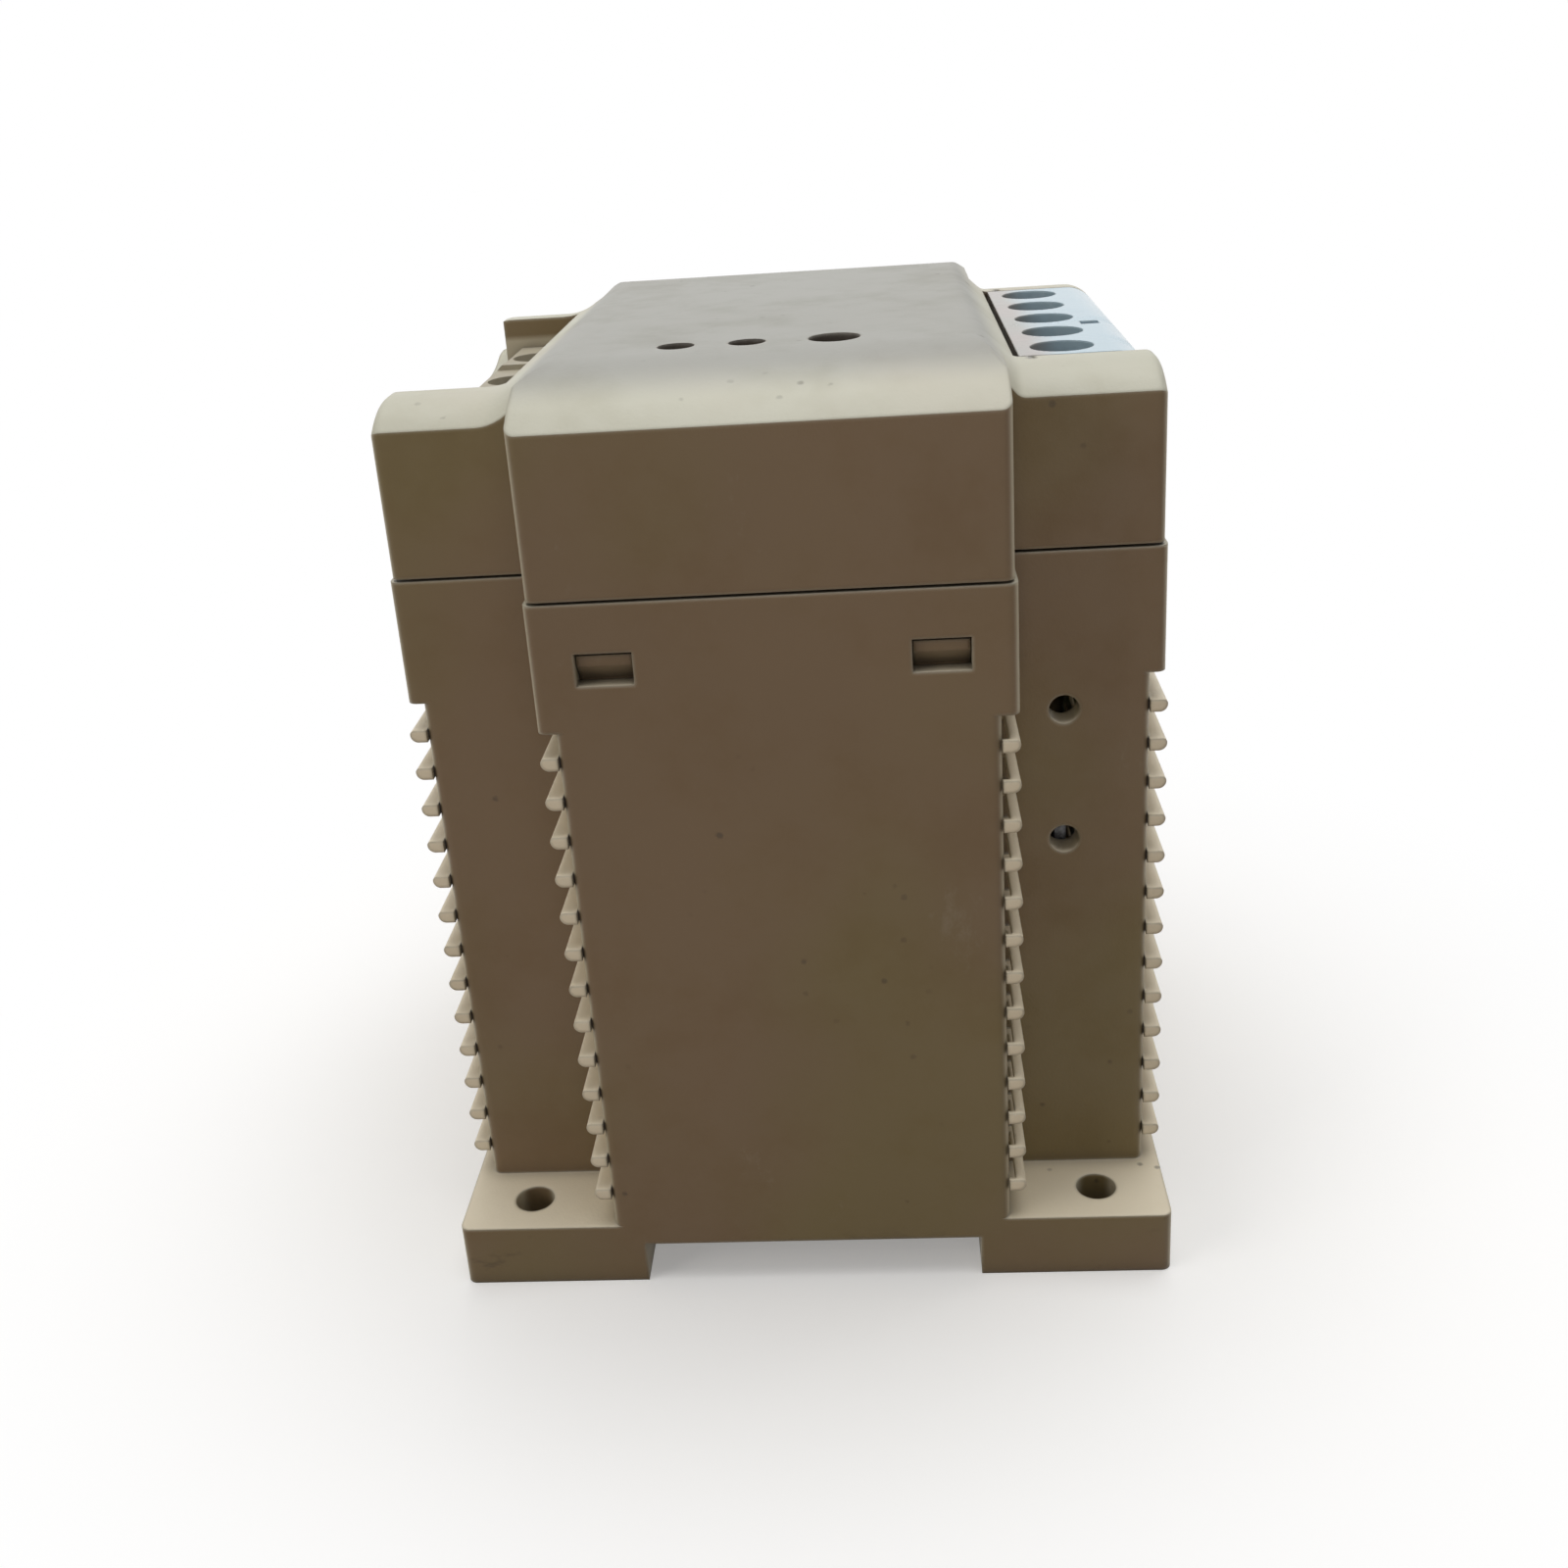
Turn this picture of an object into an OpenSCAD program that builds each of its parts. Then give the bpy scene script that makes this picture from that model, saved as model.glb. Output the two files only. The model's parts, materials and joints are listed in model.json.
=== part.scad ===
// DIN rail power supply. A deep rear case with louvred sides holds the boards,
// a front cover snaps on to it, and a sprung slider at the back grips a 35 mm rail.
// X runs across the rail, Y along it, and Z out of the front face.

/* [Case] */
// Height of the case across the rail
across = 75; // [74:0.5:79]
// Width of the case along the rail
along = 80; // [78:1:100]
// Depth from the back of the feet to the front face
deep = 96; // [95:0.5:106]
// Wall thickness of both mouldings
wall = 2; // [1.6:0.1:2.3]
// Radius of the upright outer edges
edge_r = 1; // [0.4:0.1:1.5]
// Width of a terminal wing, from the middle block to the side
wing_w = 15; // [14:0.1:15.5]
// Depth of the recess at each corner
recess = 9.6; // [8.6:0.1:10.2]
// Depth of the front cover, from the joint to the front face
cover_h = 19.9; // [19:0.1:20.4]
// Open gap at that joint
seam_gap = 0.3; // [0.2:0.05:0.5]
// How far the cover sits in from the rear case
cover_inset = 0.3; // [0.1:0.05:0.5]

/* [Louvres] */
// Height of the plain band under the joint
band_h = 12.6; // [11.5:0.1:13.5]
// Distance from the band down to the first rib
rib_lead = 2.5; // [2.2:0.1:3]
// Number of ribs, one above the other
rib_count = 13; // [6:1:14]
// Distance from one rib to the next
rib_pitch = 4.1; // [3.8:0.05:4.15]
// Thickness of a rib
rib_t = 1.25; // [1:0.05:1.5]
// How far a rib stands out of the wall
rib_depth = 1.7; // [1.3:0.1:2]
// Radius under the nose of a rib
nose_r = 0.8; // [0.4:0.05:0.8]
// Radius on top of the nose
crest_r = 0.4; // [0.2:0.05:0.4]
// How much lower the long side ribs lie than the short ones
rib_step = 0.4; // [0:0.05:0.9]
// Height of a vent slot
vent_h = 1.8; // [1.2:0.1:2]
// Length of a vent slot
vent_l = 22; // [16:1:26]
// Width of the slit behind the short ribs of the output side
slit_w = 0.7; // [0.5:0.05:0.9]

/* [Back and rail] */
// Thickness of the foot plate
foot_h = 7; // [6.6:0.1:8]
// Width of the rail notch
notch_w = 35.5; // [35.3:0.1:36]
// Depth of the rail notch
notch_h = 4.7; // [4.4:0.1:5]
// How far the hooks reach under the rail's edge
hook_reach = 2.6; // [2:0.1:3.2]
// Room between hook and notch floor for the rail's edge
rail_room = 1.3; // [1.2:0.05:1.5]
// Depth of the relief over each hook
hook_relief = 0.3; // [0.2:0.05:0.5]
// Distance of the foot holes from the sides
foot_hole_side = 7.25; // [6.5:0.05:8]
// Distance of the foot holes from the ends
foot_hole_end = 5; // [4.7:0.1:5.4]
// Diameter of the holes in the feet
foot_hole_d = 4.2; // [3.6:0.1:4.6]
// Diameter of the two bracket holes in the output side
side_hole_d = 3; // [2.6:0.1:3.4]
// Spacing of the two bracket holes
side_hole_gap = 14; // [12:0.5:16]
// Half width of the slider
slider_half = 8; // [7:0.5:10]
// Clearance of the slider in its channel
slider_gap = 0.2; // [0.15:0.05:0.3]
// Wire diameter of the slider's spring
spring_d = 0.7; // [0.5:0.05:0.8]

/* [Front] */
// Distance from the side to the raised front face
ridge_in = 17.1; // [16.5:0.1:18]
// Width of the slope down to the input terminals
slope_in = 4.8; // [4:0.1:5]
// Width of the slope down to the output terminals
slope_out = 3.2; // [2.6:0.1:3.4]
// Height of the raised face above the terminal strips
ridge_rise = 3; // [2.6:0.1:3.4]
// Drop of the front face towards each end
ridge_drop = 4.3; // [3.6:0.1:5]
// Length over which the front face drops
ridge_run = 13.4; // [12:0.1:15]
// Drop of a terminal strip towards each end
strip_drop = 2.3; // [1.8:0.1:2.8]
// Length over which a terminal strip drops
strip_run = 6.4; // [6:0.1:7]
// Radius at the foot of the slope to the input terminals
foot_in_r = 6; // [2:0.5:7]
// Radius at the foot of the slope to the output terminals
foot_out_r = 1.5; // [0.5:0.1:1.5]
// Radius of the long outer edges
shoulder_r = 3.5; // [2.5:0.1:4]
// Radius of those edges at the lamps' end
corner_r = 1; // [0.6:0.1:1.5]
// Room at each end of the terminals in their bay
bay_end = 0.2; // [0.2:0.05:0.6]
// Depth of the opening in front of the input terminals
sill_drop = 6.8; // [6:0.1:7.1]
// Radius at the lamps' end of that opening
sill_r = 4; // [2:0.5:4.5]
// Radius of the scoop at its other end
scoop_r = 22; // [18:1:26]

/* [Output cover] */
// Thickness of the hinged cover
lid_t = 1.6; // [1.4:0.1:1.8]
// Gap along the hinged edge
lid_gap = 0.6; // [0.5:0.05:0.8]
// Height of the cover's outer flange
lid_flange = 4.8; // [4:0.1:5.4]
// Diameter of a screw access hole
access_d = 6.2; // [5.6:0.1:6.6]
// Radius of the hinge pins
hinge_r = 0.75; // [0.65:0.05:0.8]
// Radial clearance of the hinge pins
hinge_gap = 0.05; // [0.02:0.01:0.1]

/* [Terminals] */
// Number of output terminals
out_poles = 5; // [3:1:5]
// Distance between output terminals
out_pitch = 8.8; // [8.4:0.1:8.8]
// Number of input terminals
in_poles = 3; // [2:1:4]
// Distance between input terminals
in_pitch = 14.6; // [10:0.1:14.6]
// Distance of the output screws from the side
out_screw_in = 8.8; // [8.5:0.1:9]
// Distance of the input screws from the side
in_screw_in = 8.3; // [8:0.1:8.6]
// Diameter of a terminal screw's head
screw_d = 5.2; // [4.6:0.1:5.4]
// Height of an input terminal block above its board
in_block_h = 13.6; // [13.2:0.1:14]
// Height of an output terminal block above its board
out_block_h = 14.6; // [14:0.1:14.8]
// Height of the partitions between the input terminals
barrier_h = 0.6; // [0.3:0.1:1.5]

/* [Indicators] */
// Distance of the indicator row from the middle, along the rail
row_y = 23.2; // [22.5:0.1:24.5]
// Position of the running lamp
lamp_x = -8.3; // [-9:0.1:-7.5]
// Position of the fault lamp
fault_x = -1.5; // [-2:0.1:-0.5]
// Position of the voltage trimmer
trim_x = 6.8; // [6.4:0.1:8]
// Diameter of a lamp
lamp_d = 3; // [2.8:0.1:3.2]
// Diameter of the hole over the trimmer
trim_hole_d = 5; // [4.4:0.1:5.2]
// Diameter of the trimmer's rotor
rotor_d = 3.8; // [3.4:0.1:4]

/* [Boards] */
// Thickness of the circuit boards
board_t = 1.6; // [1.2:0.1:1.8]
// Height of the main board above the case floor
standoff = 4; // [3:0.5:5]
// Clearance round the boards
board_gap = 0.5; // [0.3:0.1:0.8]
// Distance of the main board's screws from the middle block's sides
boss_side = 7.3; // [7:0.1:7.5]
// Distance of the main board's screws from the ends
boss_end = 6.5; // [6:0.1:7]

/* [Hidden] */
$fn = 48;
eps = 0.01;
half_x = across / 2;
half_y = along / 2;
mid_half = half_x - wing_w;
bay_half = max(out_poles * out_pitch, in_poles * in_pitch) / 2 + bay_end;
// the main board's parts are laid out for this case and follow its size
laid_half = 22.5;
laid_along = 80;
kx = mid_half / laid_half;
ky = along / laid_along;
link_x = 7 * kx;
ridge_half = half_x - ridge_in;
wing_y = half_y - recess;
seam_z = deep - cover_h;
band_z = seam_z - band_h;
band_wing = half_x - 0.2;
core_wing = half_x - rib_depth;
core_mid = mid_half - rib_depth;
cover_z = seam_z + seam_gap;
cover_mid = mid_half - cover_inset;
cover_wing = band_wing - cover_inset;
strip_z = deep - ridge_rise;
sill_z = strip_z - sill_drop;
notch_half = notch_w / 2;
hook_top = notch_h - rail_room;
main_z = foot_h + standoff;
main_top = main_z + board_t;
front_top = seam_z - 0.1;
front_z = front_top - board_t;
small_z = deep - 10;
small_top = small_z + board_t;
foot_hole_x = half_x - foot_hole_side;
foot_hole_y = half_y - foot_hole_end;
boss_x = mid_half - boss_side;
boss_y = half_y - boss_end;
out_screw_x = half_x - out_screw_in;
in_screw_x = half_x - in_screw_in;
window_x = mid_half - 7;
window_w = 5.4;
window_z = seam_z - 6.4;
window_h = 3.2;
tongue_t = 1.3;
fit = 0.1;
lamp_room = 0.3;
in_edge = 4;
out_edge = 1.8;
case_grey = [0.62, 0.58, 0.5];
cover_grey = [0.72, 0.7, 0.63];
steel = [0.75, 0.76, 0.78];
board_green = [0.16, 0.38, 0.24];
dark = [0.13, 0.13, 0.14];
copper = [0.72, 0.42, 0.22];
can_blue = [0.16, 0.2, 0.34];

// slider channel, spring window and post
slider_top = notch_h - 1.1;
slider_low = 0.4;
slider_end = half_x - slider_gap;
window_out = half_x - 3.9;
window_in = notch_half + 4.2;
post_out = window_out - 0.6;
post_in = post_out - 1.4;
tab_z0 = 1.5;
tab_z1 = 2.8;
tab_w = 1.2;
claw_tip = notch_half - hook_reach - 0.2;
spring_len = post_in - window_in - 2 * fit;
spring_runs = 8;
spring_pitch = (spring_len - spring_d) / (spring_runs - 1);
spring_half = 2;
spring_z = (slider_low + slider_top) / 2;

// hinge line of the output cover
lid_x = ridge_half + slope_out + lid_gap;
scoop_x = cover_wing - 2.5;
scoop_y = bay_half - 1.2;
hinge_x = lid_x + 1.1;
hinge_z = strip_z - lid_t / 2;
hinge_len = 1.3;
lid_half = bay_half - 0.2;
lid_bottom = strip_z - lid_flange;

// ---- shared shapes ----

// box between two corners
module bar(a, b) {
    translate(a) cube(b - a);
}

// box on both sides of the middle plane in Y
module span(x0, x1, y, z0, z1) {
    bar([x0, -y, z0], [x1, y, z1]);
}

module up(z) {
    translate([0, 0, z]) children();
}

// copies at plus and minus x and y
module corners(x, y) {
    for (sx = [-1, 1], sy = [-1, 1]) translate([sx * x, sy * y, 0]) children();
}

module both_ends() {
    children();
    mirror([0, 1, 0]) children();
}

module both_sides() {
    children();
    mirror([1, 0, 0]) children();
}

// flat outline drawn in X and Z, drawn out along Y
module along_y(length) {
    rotate([90, 0, 0]) linear_extrude(length, center = true) children();
}

// flat outline drawn in Y and Z, drawn out along X
module along_x(length) {
    rotate([90, 0, 90]) linear_extrude(length, center = true) children();
}

module rounded(w, d, r) {
    square([w - 2 * r, d], center = true);
    square([w, d - 2 * r], center = true);
    for (sx = [-1, 1], sy = [-1, 1])
        translate([sx * (w / 2 - r), sy * (d / 2 - r)]) circle(r);
}

// the wedge between a corner at p, its two edges along u and v, and an arc of radius r
module corner_wedge(p, u, v, r) {
    s = u + v;
    bis = s / norm(s);
    half = acos(u * v) / 2;
    c = p + bis * r / sin(half);
    reach = r / tan(half);
    difference() {
        polygon([p - bis * eps, p + u * reach, c, p + v * reach]);
        translate(c) circle(r);
    }
}

// cross-shaped outline of the case: a middle block and two wings
module plan(mid, wing, inset) {
    r = max(edge_r - inset, 0.3);
    rounded(2 * mid, along - 2 * inset, r);
    rounded(2 * wing, 2 * (wing_y - inset), r);
}

// ---- rear case ----

// one rib in X and Z, its nose at x = 0 and its top at z = 0
module rib_profile() {
    difference() {
        translate([-rib_depth - eps, -rib_t]) square([rib_depth + eps, rib_t]);
        corner_wedge([0, -rib_t], [-1, 0], [0, 1], nose_r);
        corner_wedge([0, 0], [-1, 0], [0, -1], crest_r);
    }
}

module ribs() {
    first = band_z - rib_lead;
    for (i = [0 : rib_count - 1]) {
        z = first - i * rib_pitch;
        both_sides() {
            translate([half_x, 0, z - rib_step]) along_y(2 * wing_y) rib_profile();
            both_ends() translate([mid_half, half_y - recess / 2, z])
                along_y(recess) rib_profile();
        }
    }
}

// vent slots in the side walls, one pair in each gap between two ribs
module vents() {
    first = band_z - rib_lead - rib_step;
    gap = rib_pitch - rib_t;
    for (i = [0 : rib_count - 2]) {
        z = first - i * rib_pitch - rib_t - gap / 2;
        both_sides() both_ends()
            bar([core_wing - wall - 1, wing_y - 4 - vent_l, z - vent_h / 2],
                [core_wing + 1, wing_y - 4, z + vent_h / 2]);
    }
}

// the narrow upright slit between the end panels and the short ribs, output side
module cheek_slits() {
    both_ends() bar([core_mid - eps, wing_y + 1.2, foot_h + 1.5],
        [core_mid + slit_w, half_y - 0.5, band_z - 1]);
}

// fixed hook that goes under the rail's edge
module rail_hook(length) {
    tip = notch_half - hook_reach;
    along_y(length) polygon([[notch_half + 1, 0.8], [tip + 1.5, 0.8], [tip, 2.2],
        [tip, hook_top], [notch_half + 1, hook_top]]);
}

// shallow relief in the notch over each hook and over the slider's claw
module hook_reliefs() {
    over = notch_h + hook_relief;
    both_ends() bar([notch_half - hook_reach - hook_relief, 17 - 6 - hook_relief, hook_top],
        [notch_half, 17 + 6 + hook_relief, over]);
    span(-notch_half, -claw_tip + hook_relief, slider_half + slider_gap, hook_top, over);
}

module slider_channel() {
    c = slider_half + slider_gap;
    span(-half_x - 1, -notch_half + 1, c, -1, slider_top + slider_gap);
    span(-half_x - 1, -notch_half + 1, c + tab_w, tab_z0 - slider_gap, tab_z1 + slider_gap);
}

module snap_window() {
    bar([window_x - window_w / 2, half_y - wall - 1, window_z - window_h / 2],
        [window_x + window_w / 2, half_y + 1, window_z + window_h / 2]);
    // slanted sill under the window
    translate([window_x, half_y, window_z - window_h / 2]) rotate([45, 0, 0])
        cube([window_w, 1.2, 1.2], center = true);
}

// bracket under the front board
module board_ledge() {
    x = band_wing - wall;
    along_y(3) polygon([[x + 0.5, front_z], [x - 4.5, front_z], [x - 4.5, front_z - 1],
        [x, front_z - 6], [x + 0.5, front_z - 6]]);
}

module side_bosses(r, depth) {
    for (z = [seam_z - 16.1, seam_z - 16.1 - side_hole_gap])
        translate([half_x - 10, -wing_y, z]) rotate([-90, 0, 0]) cylinder(r = r, h = depth);
}

module rear_case() {
    color(case_grey) {
        difference() {
            union() {
                difference() {
                    union() {
                        linear_extrude(foot_h) rounded(across, along, edge_r);
                        up(foot_h) linear_extrude(band_z - foot_h)
                            plan(core_mid, core_wing, 0);
                        up(band_z) linear_extrude(seam_z - band_z)
                            plan(mid_half, band_wing, 0);
                        ribs();
                    }
                    up(foot_h) linear_extrude(band_z - foot_h + eps)
                        plan(core_mid - wall, core_wing - wall, wall);
                    up(band_z) linear_extrude(deep)
                        plan(mid_half - wall, band_wing - wall, wall);
                    span(-notch_half, notch_half, half_y + 1, -1, notch_h);
                }
                corners(boss_x, boss_y) up(foot_h - eps)
                    cylinder(r = 3, h = standoff + eps);
                side_bosses(3, wall + 1);
                both_sides() both_ends() translate([0, wing_y - 8, 0]) board_ledge();
            }
            slider_channel();
            hook_reliefs();
            vents();
            cheek_slits();
            both_sides() both_ends() snap_window();
            corners(foot_hole_x, foot_hole_y) up(-1)
                cylinder(d = foot_hole_d, h = foot_h + 2);
            corners(boss_x, boss_y) up(foot_h - 1)
                cylinder(r = 1.3, h = standoff + 2);
            translate([0, -1, 0]) side_bosses(side_hole_d / 2, wall + 3);
        }
        both_ends() translate([0, 17, 0]) rail_hook(12);
        // post that the slider's spring leans on
        span(-post_out, -post_in, 2.6, 0.8, slider_top + slider_gap + eps);
    }
}

// ---- front cover ----

// raised middle of the front in X and Z, t inside the outer face
module ridge_section(t) {
    low = cover_z - 1;
    top = deep - t;
    foot = strip_z - t;
    a_in = atan2(ridge_rise, slope_in);
    a_out = atan2(ridge_rise, slope_out);
    xi = -ridge_half + t * tan(a_in / 2);
    xo = ridge_half - t * tan(a_out / 2);
    u_in = [-cos(a_in), -sin(a_in)];
    u_out = [cos(a_out), -sin(a_out)];
    difference() {
        polygon([[xi - slope_in, low], [xi - slope_in, foot], [xi, top], [xo, top],
            [xo + slope_out, foot], [xo + slope_out, low]]);
        corner_wedge([xi, top], [1, 0], u_in, 4);
        corner_wedge([xo, top], [-1, 0], u_out, 2.2);
    }
    corner_wedge([xi - slope_in, foot], [-1, 0], -u_in, foot_in_r + t);
    corner_wedge([xo + slope_out, foot], [1, 0], -u_out, foot_out_r + t);
}

// how the raised middle drops towards both ends, in Y and Z
module fall_section(half, top, run, drop, t) {
    low = cover_z - 1;
    r = (run * run + drop * drop) / (2 * drop);
    h = half - t;
    flat = half - run;
    difference() {
        translate([-h, low]) square([2 * h, top - t - low]);
        for (s = [-1, 1]) difference() {
            translate([s * (flat + h + 5) / 2, top]) square([h + 5 - flat, 2 * drop + 2 * t + 2],
                center = true);
            translate([s * flat, top - r]) circle(r - t, $fn = 96);
        }
    }
}

// terminal strips in X and Z, with edges of radius edge
module strip_section(t, edge) {
    x = cover_wing - t;
    top = strip_z - t;
    r = max(edge - t, 0.3);
    difference() {
        translate([-x, cover_z - 1]) square([2 * x, top - cover_z + 1]);
        for (s = [-1, 1]) corner_wedge([s * x, top], [-s, 0], [0, -1], r);
    }
}

// wings of the front from the middle to one end, where the whole outline bends down
module wing_form(t, edge) {
    flat = wing_y - strip_run;
    bend = (strip_run * strip_run + strip_drop * strip_drop) / (2 * strip_drop);
    axis_z = strip_z - bend;
    module outline() {
        strip_section(t, edge);
        ridge_section(t);
    }
    translate([0, flat / 2, 0]) along_y(flat) outline();
    translate([0, flat, axis_z]) rotate([0, -90, 0]) rotate_extrude(angle = 90) rotate(-90)
        intersection() {
            translate([0, -axis_z]) outline();
            translate([-half_x, 0]) square([across, deep]);
        }
    bar([-cover_wing + t, flat, cover_z - 1], [cover_wing - t, wing_y, axis_z]);
}

// solid of the front cover's outside, or of its inside when t is the wall
module cover_form(t) {
    low = t > 0 ? cover_z - 2 : cover_z;
    intersection() {
        up(low) linear_extrude(deep - low + 1) plan(cover_mid - t, cover_wing - t, t);
        union() {
            intersection() {
                along_y(along + 2) ridge_section(t);
                along_x(2 * (cover_mid - t)) fall_section(half_y, deep, ridge_run, ridge_drop, t);
            }
            wing_form(t, shoulder_r);
            mirror([0, 1, 0]) wing_form(t, corner_r);
        }
    }
}

// room for the terminals on the output side, closed by the hinged cover
module output_bay() {
    x0 = ridge_half + slope_out;
    span(x0, half_x + 1, bay_half, lid_bottom - 0.2, deep);
    span(x0, cover_wing - wall, bay_half, cover_z - 1, deep);
}

// room for the open terminals on the input side, with a low wall in front
module input_bay() {
    x1 = ridge_half + slope_in;
    span(-cover_wing + wall, -x1, bay_half, cover_z - 1, deep);
    difference() {
        span(-half_x - 1, -x1 - 2, bay_half, sill_z, deep);
        translate([-half_x, -bay_half, sill_z]) difference() {
            translate([-4, 0, 0]) cube([14, sill_r, sill_r]);
            translate([-5, sill_r, sill_r]) rotate([0, 90, 0]) cylinder(r = sill_r, h = 16);
        }
    }
    // scoop that rises beside the far end of the strip
    translate([-scoop_x - 5, 0, 0]) along_x(10) intersection() {
        translate([scoop_y, sill_z + scoop_r]) circle(scoop_r, $fn = 96);
        translate([scoop_y, sill_z]) square([half_y, deep - sill_z]);
    }
}

// partitions between the terminal bays and the inside of the cover
module bay_walls() {
    module frame_wall(x0, x1) {
        both_ends() bar([x0, bay_half, cover_z], [x1, bay_half + wall, strip_z - 1]);
    }
    frame_wall(ridge_half + slope_out - wall, cover_wing - 1);
    frame_wall(-cover_wing + 1, -ridge_half - slope_in + wall);
    span(ridge_half + slope_out - wall, ridge_half + slope_out, bay_half + 1, cover_z, strip_z - 1);
    span(-ridge_half - slope_in, -ridge_half - slope_in + wall, bay_half + 1, cover_z,
        strip_z - 1);
    // wall beside the scoop
    bar([-scoop_x - 1, bay_half, cover_z], [-scoop_x + wall, wing_y - 1, strip_z - 1]);
}

module snap_tongue() {
    y1 = half_y - wall - fit;
    x0 = window_x - window_w / 2 + fit;
    x1 = window_x + window_w / 2 - fit;
    low = window_z - window_h / 2 - 1.6;
    bar([x0, y1 - tongue_t, low], [x1, y1, cover_z + 4]);
    bar([x0, y1 - tongue_t, cover_z], [x1, half_y - wall + 1.5, cover_z + 4]);
    // barb that catches in the window
    translate([(x0 + x1) / 2, 0, 0]) along_x(x1 - x0) polygon([[y1 - eps, window_z + 1.2],
        [half_y - 0.7, window_z + 1.2], [half_y - 0.7, window_z + 0.2],
        [y1 - eps, window_z - window_h / 2 + fit]]);
}

// window in the side wall that a wire goes in by
module wire_entry() {
    span(cover_wing - wall - 1, half_x + 1, cage_w / 2, cage_low + 0.4, cage_low + cage_h - 0.4);
}

module front_cover() {
    color(cover_grey) difference() {
        union() {
            difference() {
                cover_form(0);
                cover_form(wall);
            }
            intersection() {
                bay_walls();
                cover_form(0);
            }
            both_sides() both_ends() snap_tongue();
            corners(31, wing_y - 4) bar([-1.5, -1.5, front_top], [1.5, 1.5, strip_z - 3]);
        }
        output_bay();
        input_bay();
        // bearings of the hinged cover
        both_ends() translate([hinge_x, bay_half - 1, hinge_z]) rotate([-90, 0, 0])
            cylinder(r = hinge_r + hinge_gap, h = hinge_len + 1.2);
        poles(out_poles, out_pitch) wire_entry();
        poles(in_poles, in_pitch) mirror([1, 0, 0]) wire_entry();
        translate([lamp_x, -row_y, small_top]) cylinder(d = lamp_d + 2 * lamp_room, h = 20);
        translate([fault_x, -row_y, small_top]) cylinder(d = lamp_d + 2 * lamp_room, h = 20);
        translate([trim_x, -row_y, small_top]) cylinder(d = trim_hole_d, h = 20);
    }
}

module output_cover() {
    xo = cover_wing;
    color([0.66, 0.74, 0.8]) difference() {
        union() {
            difference() {
                along_y(2 * lid_half) intersection() {
                    strip_section(0, shoulder_r);
                    translate([lid_x, lid_bottom]) square([half_x, lid_flange + 1]);
                }
                along_y(2 * lid_half + 2) difference() {
                    strip_section(lid_t, shoulder_r);
                    translate([0, lid_bottom - 20]) square([lid_x - 1, 40]);
                }
            }
            both_ends() translate([hinge_x, lid_half - 1, hinge_z]) rotate([-90, 0, 0])
                cylinder(r = hinge_r, h = hinge_len + 1);
        }
        for (i = [0 : out_poles - 1])
            translate([out_screw_x, (i - (out_poles - 1) / 2) * out_pitch, lid_bottom])
                cylinder(d = access_d, h = 20);
        // slot for prising the cover open
        translate([cover_wing - 4, -out_pitch / 2, strip_z]) cube([1.9, 1.9, 5], center = true);
    }
}

// ---- rail slider ----

module rail_slider() {
    color(case_grey) difference() {
        union() {
            span(-slider_end, -notch_half, slider_half, slider_low, slider_top);
            span(-slider_end + 1, -notch_half - 1, slider_half + tab_w - slider_gap,
                tab_z0, tab_z1);
            along_y(2 * slider_half) polygon([[-notch_half - eps, slider_low],
                [-claw_tip - 1.5, slider_low], [-claw_tip, 2.1], [-claw_tip, hook_top],
                [-notch_half - eps, hook_top]]);
        }
        span(-window_out, -window_in, 3.2, -1, notch_h);
        // slot for a screwdriver blade
        span(-slider_end + 1.1, -slider_end + 2.4, 3.5, -1, notch_h);
    }
}

// flat wire spring between the post and the slider
module slider_spring() {
    r = spring_d / 2;
    x0 = -post_in + fit + r;
    color(steel) up(spring_z) {
        for (i = [0 : spring_runs - 1]) translate([x0 + i * spring_pitch, 0, 0])
            rotate([90, 0, 0]) cylinder(r = r, h = 2 * spring_half, center = true);
        for (i = [0 : spring_runs - 2]) {
            s = i % 2 == 0 ? 1 : -1;
            translate([x0 + (i + 0.5) * spring_pitch, s * spring_half, 0])
                rotate([0, 0, s > 0 ? 0 : 180]) rotate_extrude(angle = 180)
                    translate([spring_pitch / 2, 0]) circle(r);
        }
    }
}

// ---- boards ----

module main_board() {
    color(board_green) difference() {
        up(main_z) linear_extrude(board_t)
            plan(core_mid - wall - board_gap, core_wing - wall - board_gap, wall + board_gap);
        corners(boss_x, boss_y) up(main_z - 1) cylinder(r = 1.7, h = board_t + 2);
    }
}

module board_screws() {
    color(steel) corners(boss_x, boss_y) up(main_top) {
        difference() {
            cylinder(r = 2.6, h = 1.9);
            up(1) for (a = [0, 90]) rotate(a) translate([-1.6, -0.35, 0]) cube([3.2, 0.7, 2]);
        }
        up(-board_t - 3) cylinder(r = 1.25, h = board_t + 3 + eps);
    }
}

module front_board() {
    color(board_green) up(front_z) linear_extrude(board_t)
        plan(mid_half - wall - board_gap, band_wing - wall - board_gap, wall + tongue_t + 1);
}

module indicator_board() {
    color(board_green) bar([-13, -row_y - 6, small_z], [12, -row_y + 8, small_top]);
}

// pin strip between the front board and the indicator board
module board_header() {
    color(dark) bar([-9, -row_y + 4, front_top], [8, -row_y + 6.5, front_top + 2.5]);
    color(steel) for (i = [0 : 5]) translate([-6.85 + i * 2.54, -row_y + 5.25, front_top + 2.5])
        bar([-0.32, -0.32, 0], [0.32, 0.32, small_z - front_top - 2.5]);
}

// upright board that joins the main board to the front board
module link_board() {
    color(board_green) difference() {
        bar([link_x, -22, main_top], [link_x + board_t, 22, front_z]);
        span(0, 20, 6, front_z - 8, front_z + 1);
    }
}

// ---- terminals ----

// centre of each pole along Y
module poles(count, pitch) {
    for (i = [0 : count - 1]) translate([0, (i - (count - 1) / 2) * pitch, 0]) children();
}

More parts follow.
